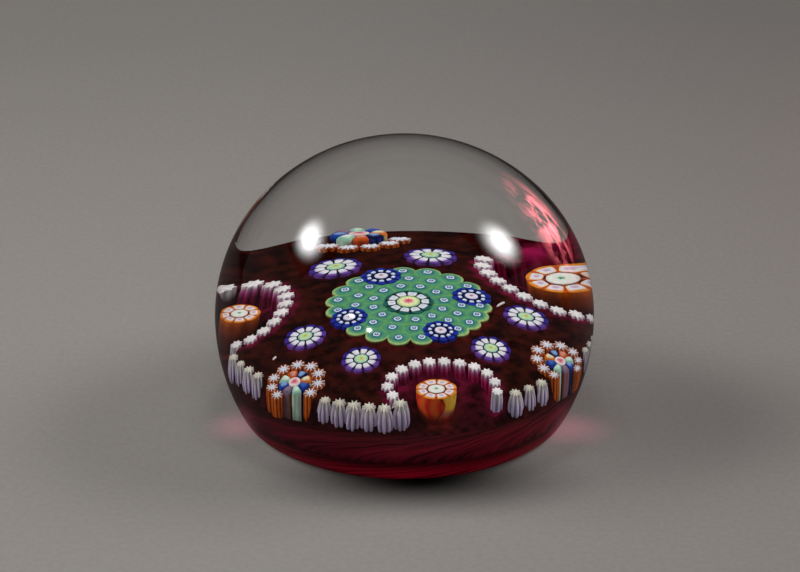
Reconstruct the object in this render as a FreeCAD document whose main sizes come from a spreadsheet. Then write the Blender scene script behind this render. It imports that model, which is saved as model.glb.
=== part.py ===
"""Garland paperweight: a clear crystal dome over a ruby glass cushion set with cut glass canes.

The dome stands on Z = 0 with +Z up, and the origin is the middle of its base.  The canes are laid out
in a three-fold pattern with its own centre, a little off the middle of the dome.  In the pattern's
frame +X runs through the middle of one garland loop.  All the canes are upright, equally long, and
their tops lie on one gently domed surface, the setup surface.
"""
import FreeCAD, Part
import Sketcher
import math
import os

from FreeCAD import Placement, Rotation, Vector

document = FreeCAD.newDocument("Paperweight")
sheet = document.addObject("Spreadsheet::Sheet", "Sizes")

SIZES = [
    # crystal dome
    ("outer_radius", 36.0, "widest radius of the dome"),
    ("total_height", 53.6, "base to top of the dome"),
    ("equator_height", 19.3, "height of the widest ring"),
    ("crown_radius", 37.2, "radius of the dome's crown"),
    ("wall_radius", 38.4, "radius of the wall's curve below the widest ring"),
    ("base_fillet", 3.0, "rounding between wall and foot"),
    ("hollow_radius", 24.0, "radius of the polished hollow under the base"),
    ("hollow_depth", 1.0, "depth of that hollow"),
    ("skin_thickness", 1.4, "clear crystal outside the ruby ground"),
    # pattern and setup surface
    ("pattern_x", 0.5, "pattern centre, across"),
    ("pattern_y", 1.8, "pattern centre, front to back"),
    ("pattern_turn", -78.0, "direction of the first garland loop"),
    ("setup_height", 19.5, "height of the cane tops at the pattern centre"),
    ("setup_curve", 52.0, "radius of the domed setup surface"),
    ("cane_length", 5.2, "length of every cane"),
    # ruby ground
    ("cushion_radius", 24.1, "top edge of the ground cushion"),
    ("cushion_foot", 25.6, "radius of the cushion where it meets the skirt"),
    ("skirt_top", 9.0, "height where the cushion meets the skirt"),
    ("skirt_edge", 5.6, "height of the skirt's outer edge"),
    ("scoop_radius", 5.8, "radius of the hollow inside each loop"),
    ("scoop_depth", 3.5, "depth of that hollow below the setup surface at the orange cane"),
    ("scoop_slope", 35.0, "fall of its floor towards the wall"),
    # middle cane
    ("middle_radius", 3.05, "teal casing"),
    ("middle_petal_in", 1.62, "inner end of the petals"),
    ("middle_petal_out", 2.58, "outer end of the petals"),
    ("middle_disc", 1.45, "cream disc"),
    ("middle_star", 0.72, "pink star"),
    # green carpet
    ("carpet_inner", 4.5, "radius of the inner ring of canes"),
    ("carpet_middle", 6.6, "radius of the middle ring"),
    ("carpet_outer", 8.85, "radius of the outer ring"),
    ("carpet_cane", 1.5, "reach of one green cane round its eye"),
    ("eye_radius", 0.54, "pale ring in a green cane"),
    ("eye_dot", 0.22, "navy dot in that ring"),
    # blue canes
    ("blue_ring", 8.1, "radius of the ring of blue canes"),
    ("blue_radius", 2.3, "royal blue casing"),
    ("blue_petal_in", 1.15, "inner end of the petals"),
    ("blue_petal_out", 1.68, "outer end of the petals"),
    ("blue_heart", 0.78, "pale heart"),
    # purple canes
    ("purple_ring", 14.5, "radius of the ring of purple canes"),
    ("purple_spread", 21.0, "angle of a purple cane from its cluster's direction"),
    ("purple_radius", 2.7, "violet casing"),
    ("purple_petal_in", 1.2, "inner end of the petals"),
    ("purple_petal_out", 2.28, "outer end of the petals"),
    ("purple_heart", 0.95, "pale green heart"),
    # orange canes
    ("orange_ring", 20.3, "radius of the ring of orange canes"),
    ("orange_radius", 3.05, "orange casing"),
    ("orange_petal_in", 1.5, "inner end of the petals"),
    ("orange_petal_out", 2.7, "outer end of the petals"),
    ("orange_heart", 1.28, "white heart"),
    # garland of small star canes
    ("rod_taper", 1.6, "length of a star cane's tapered lower end"),
    ("rod_tip", 0.45, "radius of its lower tip"),
    ("loop_rod", 0.9, "casing of a star cane in a loop"),
    ("loop_star", 0.8, "points of its star"),
    ("loop_waist", 0.5, "valleys of its star"),
    ("loop_pitch", 2.12, "spacing of canes along a loop"),
    ("loop_depth", 4.8, "length of a loop's curved end, from its crown outwards"),
    ("edge_rod", 1.1, "casing of a star cane at the cushion's edge"),
    ("edge_star", 0.96, "points of its star"),
    ("edge_waist", 0.6, "valleys of its star"),
    ("edge_ring", 24.2, "radius of the canes along the cushion's edge"),
    ("edge_step", 6.2, "spacing of those canes, degrees"),
    ("edge_last", 16.4, "angle kept clear on each side of a cluster's direction"),
    # clusters
    ("cluster_ring", 22.4, "radius of the ring of clusters"),
    ("cluster_heart", 0.8, "pink heart of a cluster"),
    ("cluster_segment_in", 0.88, "inner end of the coloured segments"),
    ("cluster_segment", 2.44, "outer radius of the coloured segments"),
    ("cluster_radius", 2.7, "dark glass round the segments"),
    ("cluster_rods", 3.8, "radius of the ring of star canes round a cluster"),
    ("cluster_step", 33.0, "spacing of those canes, degrees"),
    ("cluster_rod", 1.05, "casing of a cluster's star cane"),
    ("cluster_star", 0.97, "points of its star"),
    ("cluster_waist", 0.52, "valleys of its star"),
    # stray slivers of white cane
    ("sliver_length", 1.7, "length of a stray sliver"),
    ("sliver_width", 0.45, "its width"),
    ("sliver_height", 0.35, "its height"),
]

LOOPS = 3
LOOP_STEP = 360 / LOOPS
# Each loop is laid by hand: the radius of its crown, then for each side its half width and how fast its
# leg turns outwards.
LOOP_SHAPES = (
    (14.3, (7.1, -0.35), (9.1, 0.12)),
    (13.4, (8.3, 0.12), (6.9, 0.12)),
    (15.2, (7.3, 0.12), (7.5, 0.12)),
)
MIDDLE_PETALS = 10
BLUE_PETALS = 10
PURPLE_PETALS = 10
ORANGE_PETALS = 8
STAR_POINTS = 8
CLUSTER_SEGMENTS = 8
CLUSTER_RODS = 9
# The slices of the cluster cane are turned by hand, and some lie face down: the bearing of the first
# segment from the cluster's direction, and the way the others follow it.
CLUSTER_TURNS = ((158, -1), (213, -1), (180, 1))
# The ring of star canes round each cluster is open: the bearing of the gap from the cluster's direction.
CLUSTER_GAPS = (-22, 0, 31)
# Places of each colour in the order of the eight segments.
SEGMENT_COLOURS = (("navy", (0, 6)), ("mint", (2, 5)), ("striped", (1, 4, 7)), ("blue", (3,)))
BLUE_BEARINGS = (20, 98, 191, 279)
INNER_GREENS = 12
MIDDLE_GREENS = 3
OUTER_GREENS = 4
PAD_EXCESS = 4  # how far a cane is padded past the setup surface before it is trimmed
PATH_STEPS = 200  # points along each half of a loop's side
EDGE_ROOM = 0.1  # how far past the edge ring the last cane of a leg may stand
EDGE_BAND = 1.2  # canes this near the edge ring count as edge canes
SLIVERS = ((20.4, -77, 15), (11.4, 86, -40))  # reach and bearing of each stray sliver, and its turn


def fill_sheet():
    """Write every driving dimension to the sheet under its alias."""
    for row, (alias, value, note) in enumerate(SIZES, start=1):
        sheet.set(f"A{row}", alias)
        sheet.set(f"B{row}", str(value))
        sheet.set(f"C{row}", note)
        sheet.setAlias(f"B{row}", alias)
    document.recompute()


def size(alias):
    """Return one driving dimension from the sheet."""
    return float(sheet.get(alias))


# ---------------------------------------------------------------- places in the pattern

def place(ring, bearing, twist=0.0):
    """Describe one cane: the alias of its ring, its bearing from the first loop and its own twist."""
    return {"ring": ring, "bearing": bearing, "twist": twist}


def middle_places():
    return [place("0", 0)]


def blue_places():
    return [place("Sizes.blue_ring", bearing, 7 * k) for k, bearing in enumerate(BLUE_BEARINGS)]


def purple_places():
    """Two purple canes stand inside each cluster, one on either side of its direction."""
    places = []
    for loop in range(LOOPS):
        cluster = LOOP_STEP * (loop + 0.5)
        for k, sign in enumerate(("-", "+")):
            bearing = f"{cluster} {sign} Sizes.purple_spread"
            places.append(place("Sizes.purple_ring", bearing, 11 * loop + 5 * k))
    return places


def orange_places():
    return [place("Sizes.orange_ring", LOOP_STEP * loop, 9 * loop) for loop in range(LOOPS)]


def cluster_places():
    return [place("Sizes.cluster_ring", LOOP_STEP * (loop + 0.5)) for loop in range(LOOPS)]


def segment_places(order):
    """Describe the segments that stand at some of the eight places round each cluster's heart."""
    places = []
    for loop, (first, way) in enumerate(CLUSTER_TURNS):
        for step in order:
            twist = first + way * step * 360 / CLUSTER_SEGMENTS
            places.append(place("Sizes.cluster_ring", LOOP_STEP * (loop + 0.5), twist))
    return places


def polar(reach, bearing):
    """Return the point at a distance and bearing (degrees) from the pattern centre."""
    angle = math.radians(bearing)
    return Vector(reach * math.cos(angle), reach * math.sin(angle), 0)


def setup_level(point):
    """Return the height of the setup surface over a point of the pattern."""
    curve = size("setup_curve")
    reach = math.hypot(point.x, point.y)
    return size("setup_height") - curve + math.sqrt(curve ** 2 - reach ** 2)


# ---------------------------------------------------------------- helpers for bodies

def origin_plane(body, role):
    """Return one of a body's own origin planes or axes."""
    return next(item for item in body.Origin.OriginFeatures if item.Role == role)


def put_on_pattern(item):
    """Bind an object's placement to the pattern's centre and direction."""
    item.Placement = Placement(Vector(), Rotation(Vector(0, 0, 1), 1))
    item.setExpression("Placement.Base.x", "Sizes.pattern_x")
    item.setExpression("Placement.Base.y", "Sizes.pattern_y")
    item.setExpression("Placement.Rotation.Angle", "Sizes.pattern_turn * 1 deg")


def new_body(name):
    body = document.addObject("PartDesign::Body", name)
    body.Label = name
    body.AllowCompound = True
    return body


def new_sketch(body, name, role):
    sketch = body.newObject("Sketcher::SketchObject", name)
    sketch.AttachmentSupport = [(origin_plane(body, role), "")]
    sketch.MapMode = "FlatFace"
    return sketch


def cane_sketch(body, name, spot):
    """Add a sketch whose origin is the foot of one cane, turned to face away from the centre."""
    sketch = new_sketch(body, name, "XY_Plane")
    ring, bearing = spot["ring"], spot["bearing"]
    foot = (f"Sizes.setup_height - Sizes.setup_curve - Sizes.cane_length"
            f" + sqrt(Sizes.setup_curve ^ 2 - ({ring}) ^ 2)")
    sketch.AttachmentOffset = Placement(Vector(), Rotation(Vector(0, 0, 1), 1))
    sketch.setExpression("AttachmentOffset.Base.x", f"({ring}) * cos({bearing})")
    sketch.setExpression("AttachmentOffset.Base.y", f"({ring}) * sin({bearing})")
    sketch.setExpression("AttachmentOffset.Base.z", foot)
    sketch.setExpression("AttachmentOffset.Rotation.Angle", f"({bearing} + {spot['twist']}) * 1 deg")
    return sketch


def add_ring(sketch, alias, name):
    """Draw a circle round the sketch's origin with its radius bound to the sheet."""
    start = Part.Circle(Vector(0, 0, 0), Vector(0, 0, 1), size(alias))
    index = sketch.addGeometry(start, False)
    sketch.addConstraint(Sketcher.Constraint("Coincident", index, 3, -1, 1))
    bind(sketch, Sketcher.Constraint("Radius", index, size(alias)), name, f"Sizes.{alias}")


def bind(sketch, constraint, name, expression):
    """Add one dimension to a sketch and bind it to the sheet."""
    index = sketch.addConstraint(constraint)
    sketch.renameConstraint(index, name)
    sketch.setExpression(f"Constraints.{name}", expression)


def pad_up(body, sketch, name, flat=False):
    """Pad a cane's outline upwards: past the setup surface, or to a flat top level with its middle."""
    pad = body.newObject("PartDesign::Pad", name)
    pad.Profile = sketch
    pad.setExpression("Length", f"Sizes.cane_length + {0 if flat else PAD_EXCESS}")
    sketch.Visibility = False
    return pad


def trim_tops(body, name):
    """Cut everything above the setup surface away with one groove."""
    curve, top = size("setup_curve"), size("setup_height")
    reach, lid = size("outer_radius"), top + 3 * PAD_EXCESS
    sketch = new_sketch(body, f"{name}_setup_outline", "XZ_Plane")
    centre = Vector(0, top - curve, 0)
    edge_angle = math.acos(reach / curve)
    edge = Vector(reach, centre.y + curve * math.sin(edge_angle), 0)
    circle = Part.Circle(centre, Vector(0, 0, 1), curve)
    sketch.addGeometry(Part.ArcOfCircle(circle, edge_angle, math.pi / 2), False)
    sketch.addGeometry(Part.LineSegment(edge, Vector(reach, lid, 0)), False)
    sketch.addGeometry(Part.LineSegment(Vector(reach, lid, 0), Vector(0, lid, 0)), False)
    sketch.addGeometry(Part.LineSegment(Vector(0, lid, 0), Vector(0, top, 0)), False)
    for first, point, second, other in ((0, 1, 1, 1), (1, 2, 2, 1), (2, 2, 3, 1), (3, 2, 0, 2)):
        sketch.addConstraint(Sketcher.Constraint("Coincident", first, point, second, other))
    sketch.addConstraint(Sketcher.Constraint("PointOnObject", 0, 3, -2))
    sketch.addConstraint(Sketcher.Constraint("PointOnObject", 0, 2, -2))
    sketch.addConstraint(Sketcher.Constraint("PointOnObject", 3, 1, -2))
    sketch.addConstraint(Sketcher.Constraint("Vertical", 1))
    sketch.addConstraint(Sketcher.Constraint("Horizontal", 2))
    bind(sketch, Sketcher.Constraint("Radius", 0, curve), "curve", "Sizes.setup_curve")
    bind(sketch, Sketcher.Constraint("DistanceY", -1, 1, 0, 2, top), "top", "Sizes.setup_height")
    bind(sketch, Sketcher.Constraint("DistanceX", -1, 1, 1, 1, reach), "reach", "Sizes.outer_radius")
    bind(sketch, Sketcher.Constraint("DistanceY", -1, 1, 3, 1, lid), "lid",
         f"Sizes.setup_height + {3 * PAD_EXCESS}")
    groove = body.newObject("PartDesign::Groove", f"{name}_trim")
    groove.Profile = sketch
    groove.ReferenceAxis = (sketch, ["V_Axis"])
    groove.Angle = 360
    sketch.Visibility = False
    body.Tip = groove


# ---------------------------------------------------------------- parts of a cane

def rods(name, spots, outer, inner=None, flat=False):
    """Build one round rod, or tube, at each place."""
    body = new_body(name)
    for k, spot in enumerate(spots):
        sketch = cane_sketch(body, f"{name}_outline_{k}", spot)
        add_ring(sketch, outer, "outer")
        if inner:
            add_ring(sketch, inner, "inner")
        body.Tip = pad_up(body, sketch, f"{name}_rod_{k}", flat)
    if not flat:
        trim_tops(body, name)
    put_on_pattern(body)
    return body


def petals(name, spots, inner, outer, count, fill=1.0, flat=False, single=False):
    """Build petals at each place: keystones that each fill part of one of count equal shares.

    A single petal is laid at each place, or else the whole ring of count petals.
    """
    body = new_body(name)
    near, far = size(inner), size(outer)
    share = f"2 * tan(180 / {count}) * {fill}"
    near_width = 2 * math.tan(math.pi / count) * fill * near
    far_width = 2 * math.tan(math.pi / count) * fill * far
    corners = [Vector(near, -near_width / 2, 0), Vector(far, -far_width / 2, 0),
               Vector(far, far_width / 2, 0), Vector(near, near_width / 2, 0)]
    for k, spot in enumerate(spots):
        sketch = cane_sketch(body, f"{name}_outline_{k}", spot)
        for side in range(4):
            sketch.addGeometry(Part.LineSegment(corners[side], corners[(side + 1) % 4]), False)
        for side in range(4):
            sketch.addConstraint(Sketcher.Constraint("Coincident", side, 2, (side + 1) % 4, 1))
        sketch.addConstraint(Sketcher.Constraint("Symmetric", 1, 1, 1, 2, -1))
        sketch.addConstraint(Sketcher.Constraint("Symmetric", 3, 1, 3, 2, -1))
        bind(sketch, Sketcher.Constraint("DistanceX", -1, 1, 3, 1, near), "near", f"Sizes.{inner}")
        bind(sketch, Sketcher.Constraint("DistanceX", -1, 1, 1, 1, far), "far", f"Sizes.{outer}")
        bind(sketch, Sketcher.Constraint("DistanceY", 3, 2, 3, 1, near_width), "near_width",
             f"Sizes.{inner} * {share}")
        bind(sketch, Sketcher.Constraint("DistanceY", 1, 1, 1, 2, far_width), "far_width",
             f"Sizes.{outer} * {share}")
        pad = pad_up(body, sketch, f"{name}_petal_{k}", flat)
        body.Tip = pad
        if single:
            continue
        document.recompute()
        ring = body.newObject("PartDesign::PolarPattern", f"{name}_ring_{k}")
        ring.Originals = [pad]
        ring.Axis = (sketch, ["N_Axis"])
        ring.Occurrences = count
        ring.Angle = 360
        body.Tip = ring
    if not flat:
        trim_tops(body, name)
    put_on_pattern(body)
    return body


def casing(name, blank, fillings):
    """Cut the hearts and petals of a cane out of its outer glass."""
    cut = document.addObject("Part::Cut", name)
    cut.Base = blank
    cut.Tool = gather(f"{name}_fillings", fillings)
    cut.Label = name
    return cut


def gather(name, items):
    """Collect several objects in one compound, to be used as a cutting tool."""
    compound = document.addObject("Part::Compound", name)
    compound.Links = items
    return compound


def shaped_piece(name, shape):
    """Hold a shape made from the sheet's sizes, and put it on the pattern."""
    piece = document.addObject("Part::Feature", name)
    piece.Shape = shape
    piece.Label = name
    put_on_pattern(piece)
    return piece


def setup_ball():
    """Return the ball whose top is the setup surface."""
    curve = size("setup_curve")
    return Part.makeSphere(curve, Vector(0, 0, size("setup_height") - curve))


# ---------------------------------------------------------------- green carpet

def green_points():
    """Return the middle of every green cane: an inner ring, then canes between the blue ones."""
    points = [polar(size("carpet_inner"), k * 360 / INNER_GREENS) for k in range(INNER_GREENS)]
    for k, start in enumerate(BLUE_BEARINGS):
        gap = (BLUE_BEARINGS[(k + 1) % len(BLUE_BEARINGS)] - start) % 360
        for ring, count in (("carpet_middle", MIDDLE_GREENS), ("carpet_outer", OUTER_GREENS)):
            for step in range(count):
                points.append(polar(size(ring), start + gap * (step + 1) / (count + 1)))
    return points


def nearer_half(point, other):
    """Return a big plate that covers the plane on point's side of the midline to other."""
    reach = size("outer_radius")
    bearing = math.degrees(math.atan2(other.y - point.y, other.x - point.x))
    plate = Part.makePlane(reach, 2 * reach, Vector(-reach, -reach, 0))
    plate.Placement = Placement((point + other) / 2, Rotation(Vector(0, 0, 1), bearing)) * plate.Placement
    return plate


def carpet_blank():
    """Build the green canes, pressed together so that each fills the space nearest to it.

    Each outer cane keeps its own round edge, which gives the carpet its scalloped outline.
    """
    points = green_points()
    length, reach = size("cane_length"), size("carpet_cane")
    taken = [Part.Face(Part.Wire(Part.makeCircle(size("middle_radius"))))]
    for bearing in BLUE_BEARINGS:
        taken.append(Part.Face(Part.Wire(Part.makeCircle(
            size("blue_radius"), polar(size("blue_ring"), bearing)))))
    carpet = Part.Face(Part.Wire(Part.makeCircle(size("carpet_outer"))))
    prisms = []
    for point in points:
        near = [other for other in points if 0 < (other - point).Length < 3 * reach]
        cell = Part.Face(Part.Wire(Part.makeCircle(reach, point)))
        cell = cell.fuse(carpet.common(Part.Face(Part.Wire(Part.makeCircle(1.5 * reach, point)))))
        cell = cell.removeSplitter()
        for other in near:
            cell = cell.common(nearer_half(point, other))
        cell = cell.cut(taken)
        foot = setup_level(point) - length
        cell = max(cell.Faces, key=lambda face: face.Area)
        cell.translate(Vector(0, 0, foot))
        prisms.append(cell.extrude(Vector(0, 0, length + PAD_EXCESS)))
    return shaped_piece("carpet_blank", Part.makeCompound(prisms).common(setup_ball()))


def carpet_rounds(name, outer, inner=None):
    """Build the eyes of the green canes, one round rod or tube in each."""
    length = size("cane_length")
    rounds = []
    for point in green_points():
        foot = Vector(point.x, point.y, setup_level(point) - length)
        solid = Part.makeCylinder(size(outer), length + PAD_EXCESS, foot)
        if inner:
            solid = solid.cut(Part.makeCylinder(size(inner), length + PAD_EXCESS, foot))
        rounds.append(solid)
    return shaped_piece(name, Part.makeCompound(rounds).common(setup_ball()))


# ---------------------------------------------------------------- small star canes

def loop_path(crown, sign, half_width, flare):
    """Return closely spaced points along one side of a loop: a quarter ellipse, then a straight leg."""
    depth = size("loop_depth")
    path = []
    for k in range(PATH_STEPS + 1):
        turn = k * math.pi / 2 / PATH_STEPS
        path.append(Vector(crown + depth * (1 - math.cos(turn)), sign * half_width * math.sin(turn), 0))
    for k in range(1, PATH_STEPS):
        leg = k * 2 * depth / PATH_STEPS
        path.append(Vector(crown + depth + leg, sign * (half_width + flare * leg), 0))
    return path


def loop_points(loop):
    """Walk along one loop from its crown and return its canes, clockwise side then the other."""
    crown, *shapes = LOOP_SHAPES[loop]
    sides = []
    for sign, (half_width, flare) in zip((-1, 1), shapes):
        side, walked = [], 0.0
        path = loop_path(crown, sign, half_width, flare)
        for before, after in zip(path, path[1:]):
            walked += (after - before).Length
            if walked >= size("loop_pitch") and after.Length < size("edge_ring") + EDGE_ROOM:
                side.append(after)
                walked = 0.0
        sides.append(side)
    turn = Rotation(Vector(0, 0, 1), LOOP_STEP * loop)
    clockwise, counter = [[turn.multVec(point) for point in side] for side in sides]
    crown_point = turn.multVec(Vector(crown, 0, 0))
    return crown_point, clockwise, counter


def edge_points(loop):
    """Return the canes along the cushion's edge, from each end of a loop to the next cluster."""
    points = []
    middle = LOOP_STEP * loop
    for sign, side in zip((-1, 1), loop_points(loop)[1:]):
        last = side[-1]
        first = abs((math.degrees(math.atan2(last.y, last.x)) - middle + 180) % 360 - 180)
        span = LOOP_STEP / 2 - size("edge_last") - first
        count = round(span / size("edge_step"))
        for k in range(count):
            points.append(polar(size("edge_ring"), middle + sign * (first + span * (k + 1) / count)))
    return points


def garland_points():
    """Return the canes inside the cushion and the canes at its edge, for all the loops."""
    inside, edge = [], []
    for loop in range(LOOPS):
        crown, clockwise, counter = loop_points(loop)
        for point in [crown] + clockwise + counter:
            at_edge = point.Length > size("edge_ring") - EDGE_BAND
            (edge if at_edge else inside).append(point)
        edge += edge_points(loop)
    return inside, edge


def cluster_rod_points():
    """Return the star canes that stand round each cluster, in a ring that is open at its gap."""
    points = []
    for loop, gap in enumerate(CLUSTER_GAPS):
        middle = LOOP_STEP * (loop + 0.5)
        centre = polar(size("cluster_ring"), middle)
        first = middle + gap + 180 - size("cluster_step") * (CLUSTER_RODS - 1) / 2
        for k in range(CLUSTER_RODS):
            points.append(centre + polar(size("cluster_rods"), first + k * size("cluster_step")))
    return points


def tapered_rod(point, radius):
    """Return one upright cane with a tapered lower end."""
    length = size("cane_length")
    foot = setup_level(point) - length
    outline = [Vector(0, 0, 0), Vector(size("rod_tip"), 0, 0), Vector(radius, 0, size("rod_taper")),
               Vector(radius, 0, length + PAD_EXCESS), Vector(0, 0, length + PAD_EXCESS)]
    solid = Part.Face(Part.makePolygon(outline + outline[:1])).revolve(Vector(), Vector(0, 0, 1), 360)
    solid.translate(Vector(point.x, point.y, foot))
    return solid


def star_prism(point, tip, waist, turn):
    """Return one upright star rod, from the end of the taper to past the setup surface."""
    foot = setup_level(point) - size("cane_length") + size("rod_taper")
    corners = []
    for k in range(2 * STAR_POINTS):
        reach = waist if k % 2 else tip
        corners.append(point + polar(reach, turn + k * 180 / STAR_POINTS) + Vector(0, 0, foot))
    height = size("cane_length") - size("rod_taper") + PAD_EXCESS
    return Part.Face(Part.makePolygon(corners + corners[:1])).extrude(Vector(0, 0, height))


def star_canes(kind, points, radius, tip, waist):
    """Build a set of star canes: the blanks, the stars, and the casings round the stars."""
    ball = setup_ball()
    stars = [star_prism(point, size(tip), size(waist), 17 * k) for k, point in enumerate(points)]
    blanks = [tapered_rod(point, size(radius)) for point in points]
    blank = shaped_piece(f"{kind}_blank", Part.makeCompound(blanks).common(ball))
    star = shaped_piece(f"{kind}_stars", Part.makeCompound(stars).common(ball))
    return blank, star, casing(f"{kind}_casings", blank, [star])


# ---------------------------------------------------------------- stray slivers

def stray_slivers():
    """Build the two loose slivers of white cane that lie in the crystal just over the ground."""
    length, width, height = size("sliver_length"), size("sliver_width"), size("sliver_height")
    slivers = []
    for reach, bearing, turn in SLIVERS:
        middle = polar(reach, bearing)
        sliver = Part.makeCylinder(width / 2, length, Vector(-length / 2, 0, 0), Vector(1, 0, 0))
        sliver.rotate(Vector(), Vector(0, 0, 1), turn)
        sliver.translate(middle + Vector(0, 0, setup_level(middle) + height))
        slivers.append(sliver)
    return shaped_piece("stray_slivers", Part.makeCompound(slivers))


# ---------------------------------------------------------------- ground and crystal

def wall_arc(inset, top):
    """Return the wall's curve, moved in by inset, from the foot up to a height."""
    radius = size("wall_radius") - inset
    centre = Vector(size("outer_radius") - size("wall_radius"), size("equator_height"), 0)
    circle = Part.Circle(centre, Vector(0, 0, 1), radius)
    low, high = math.asin(-centre.y / radius), math.asin((top - centre.y) / radius)
    return Part.ArcOfCircle(circle, low, high)


def hollow_arc():
    """Return the arc of the polished hollow under the base, from the foot to the axis."""
    reach, depth = size("hollow_radius"), size("hollow_depth")
    curve = (reach ** 2 + depth ** 2) / (2 * depth)
    centre = Vector(0, depth - curve, 0)
    circle = Part.Circle(centre, Vector(0, 0, 1), curve)
    return Part.ArcOfCircle(circle, math.atan2(-centre.y, reach), math.pi / 2)


def draw_base(sketch, inset, inset_name, top):
    """Draw and bind the lines that dome and ground share: wall 0, foot 1 and hollow 2."""
    wall, hollow = wall_arc(inset, top), hollow_arc()
    sketch.addGeometry(wall, False)
    sketch.addGeometry(Part.LineSegment(wall.StartPoint, hollow.StartPoint), False)
    sketch.addGeometry(hollow, False)
    sketch.addConstraint(Sketcher.Constraint("Coincident", 0, 1, 1, 1))
    sketch.addConstraint(Sketcher.Constraint("Coincident", 1, 2, 2, 1))
    sketch.addConstraint(Sketcher.Constraint("PointOnObject", 0, 1, -1))
    sketch.addConstraint(Sketcher.Constraint("PointOnObject", 1, 2, -1))
    sketch.addConstraint(Sketcher.Constraint("PointOnObject", 2, 2, -2))
    sketch.addConstraint(Sketcher.Constraint("PointOnObject", 2, 3, -2))
    centre = wall.Center
    bind(sketch, Sketcher.Constraint("Radius", 0, wall.Radius), "wall_radius",
         f"Sizes.wall_radius - {inset_name}")
    bind(sketch, Sketcher.Constraint("DistanceX", 0, 3, -1, 1, -centre.x), "wall_centre",
         "Sizes.wall_radius - Sizes.outer_radius")
    bind(sketch, Sketcher.Constraint("DistanceY", -1, 1, 0, 3, centre.y), "wall_level",
         "Sizes.equator_height")
    bind(sketch, Sketcher.Constraint("DistanceX", -1, 1, 1, 2, size("hollow_radius")), "hollow_reach",
         "Sizes.hollow_radius")
    bind(sketch, Sketcher.Constraint("DistanceY", -1, 1, 2, 2, size("hollow_depth")), "hollow_top",
         "Sizes.hollow_depth")
    return wall, hollow


def close_outline(sketch, points):
    """Join the end of the wall to the top of the hollow with straight lines through points."""
    for before, after in zip(points, points[1:]):
        sketch.addGeometry(Part.LineSegment(before, after), False)
    last = 2 + len(points) - 1
    sketch.addConstraint(Sketcher.Constraint("Coincident", 0, 2, 3, 1))
    for index in range(3, last):
        sketch.addConstraint(Sketcher.Constraint("Coincident", index, 2, index + 1, 1))
    sketch.addConstraint(Sketcher.Constraint("Coincident", last, 2, 2, 2))
    sketch.addConstraint(Sketcher.Constraint("Vertical", last))


def revolve_body(body, sketch, name):
    revolution = body.newObject("PartDesign::Revolution", name)
    revolution.Profile = sketch
    revolution.ReferenceAxis = (sketch, ["V_Axis"])
    revolution.Angle = 360
    sketch.Visibility = False
    document.recompute()
    return revolution


def round_foot(body, revolution, reach):
    """Round the edge between the wall and the foot."""
    edges = [f"Edge{k}" for k, edge in enumerate(revolution.Shape.Edges, start=1)
             if abs(edge.BoundBox.ZMax) < 0.01 and abs(edge.BoundBox.XMax - reach) < 0.01]
    fillet = body.newObject("PartDesign::Fillet", f"{body.Name}_foot")
    fillet.Base = (revolution, edges)
    fillet.setExpression("Radius", "Sizes.base_fillet")
    body.Tip = fillet


def dome_arcs():
    """Return the dome's shoulder and crown arcs, which meet smoothly, from the wall to the axis."""
    reach, level, top = size("outer_radius"), size("equator_height"), size("total_height")
    crown = size("crown_radius")
    drop = crown - (top - level)
    shoulder = (crown ** 2 - drop ** 2 - reach ** 2) / (2 * (crown - reach))
    crown_centre = Vector(0, top - crown, 0)
    shoulder_centre = Vector(reach - shoulder, level, 0)
    lean = math.atan2(shoulder_centre.y - crown_centre.y, shoulder_centre.x)
    shoulder_circle = Part.Circle(shoulder_centre, Vector(0, 0, 1), shoulder)
    crown_circle = Part.Circle(crown_centre, Vector(0, 0, 1), crown)
    return Part.ArcOfCircle(shoulder_circle, 0, lean), Part.ArcOfCircle(crown_circle, lean, math.pi / 2)


def crystal_blank():
    """Revolve the outside of the weight: curved wall, flattened dome and hollow base."""
    body = new_body("crystal_blank")
    sketch = new_sketch(body, "crystal_outline", "XZ_Plane")
    level, top = size("equator_height"), size("total_height")
    wall, hollow = draw_base(sketch, 0, "0", level)
    shoulder, crown = [sketch.addGeometry(arc, False) for arc in dome_arcs()]
    axis = sketch.addGeometry(Part.LineSegment(Vector(0, top, 0), hollow.EndPoint), False)
    sketch.addConstraint(Sketcher.Constraint("Coincident", 0, 2, shoulder, 1))
    sketch.addConstraint(Sketcher.Constraint("Tangent", shoulder, 2, crown, 1))
    sketch.addConstraint(Sketcher.Constraint("Coincident", crown, 2, axis, 1))
    sketch.addConstraint(Sketcher.Constraint("Coincident", axis, 2, 2, 2))
    sketch.addConstraint(Sketcher.Constraint("PointOnObject", axis, 1, -2))
    sketch.addConstraint(Sketcher.Constraint("PointOnObject", crown, 3, -2))
    sketch.addConstraint(Sketcher.Constraint("Horizontal", 0, 2, 0, 3))
    sketch.addConstraint(Sketcher.Constraint("Horizontal", shoulder, 3, 0, 3))
    bind(sketch, Sketcher.Constraint("Radius", crown, size("crown_radius")), "crown",
         "Sizes.crown_radius")
    bind(sketch, Sketcher.Constraint("DistanceY", -1, 1, crown, 2, top), "top", "Sizes.total_height")
    revolution = revolve_body(body, sketch, "crystal_turn")
    round_foot(body, revolution, wall.StartPoint.x)
    return body


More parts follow.
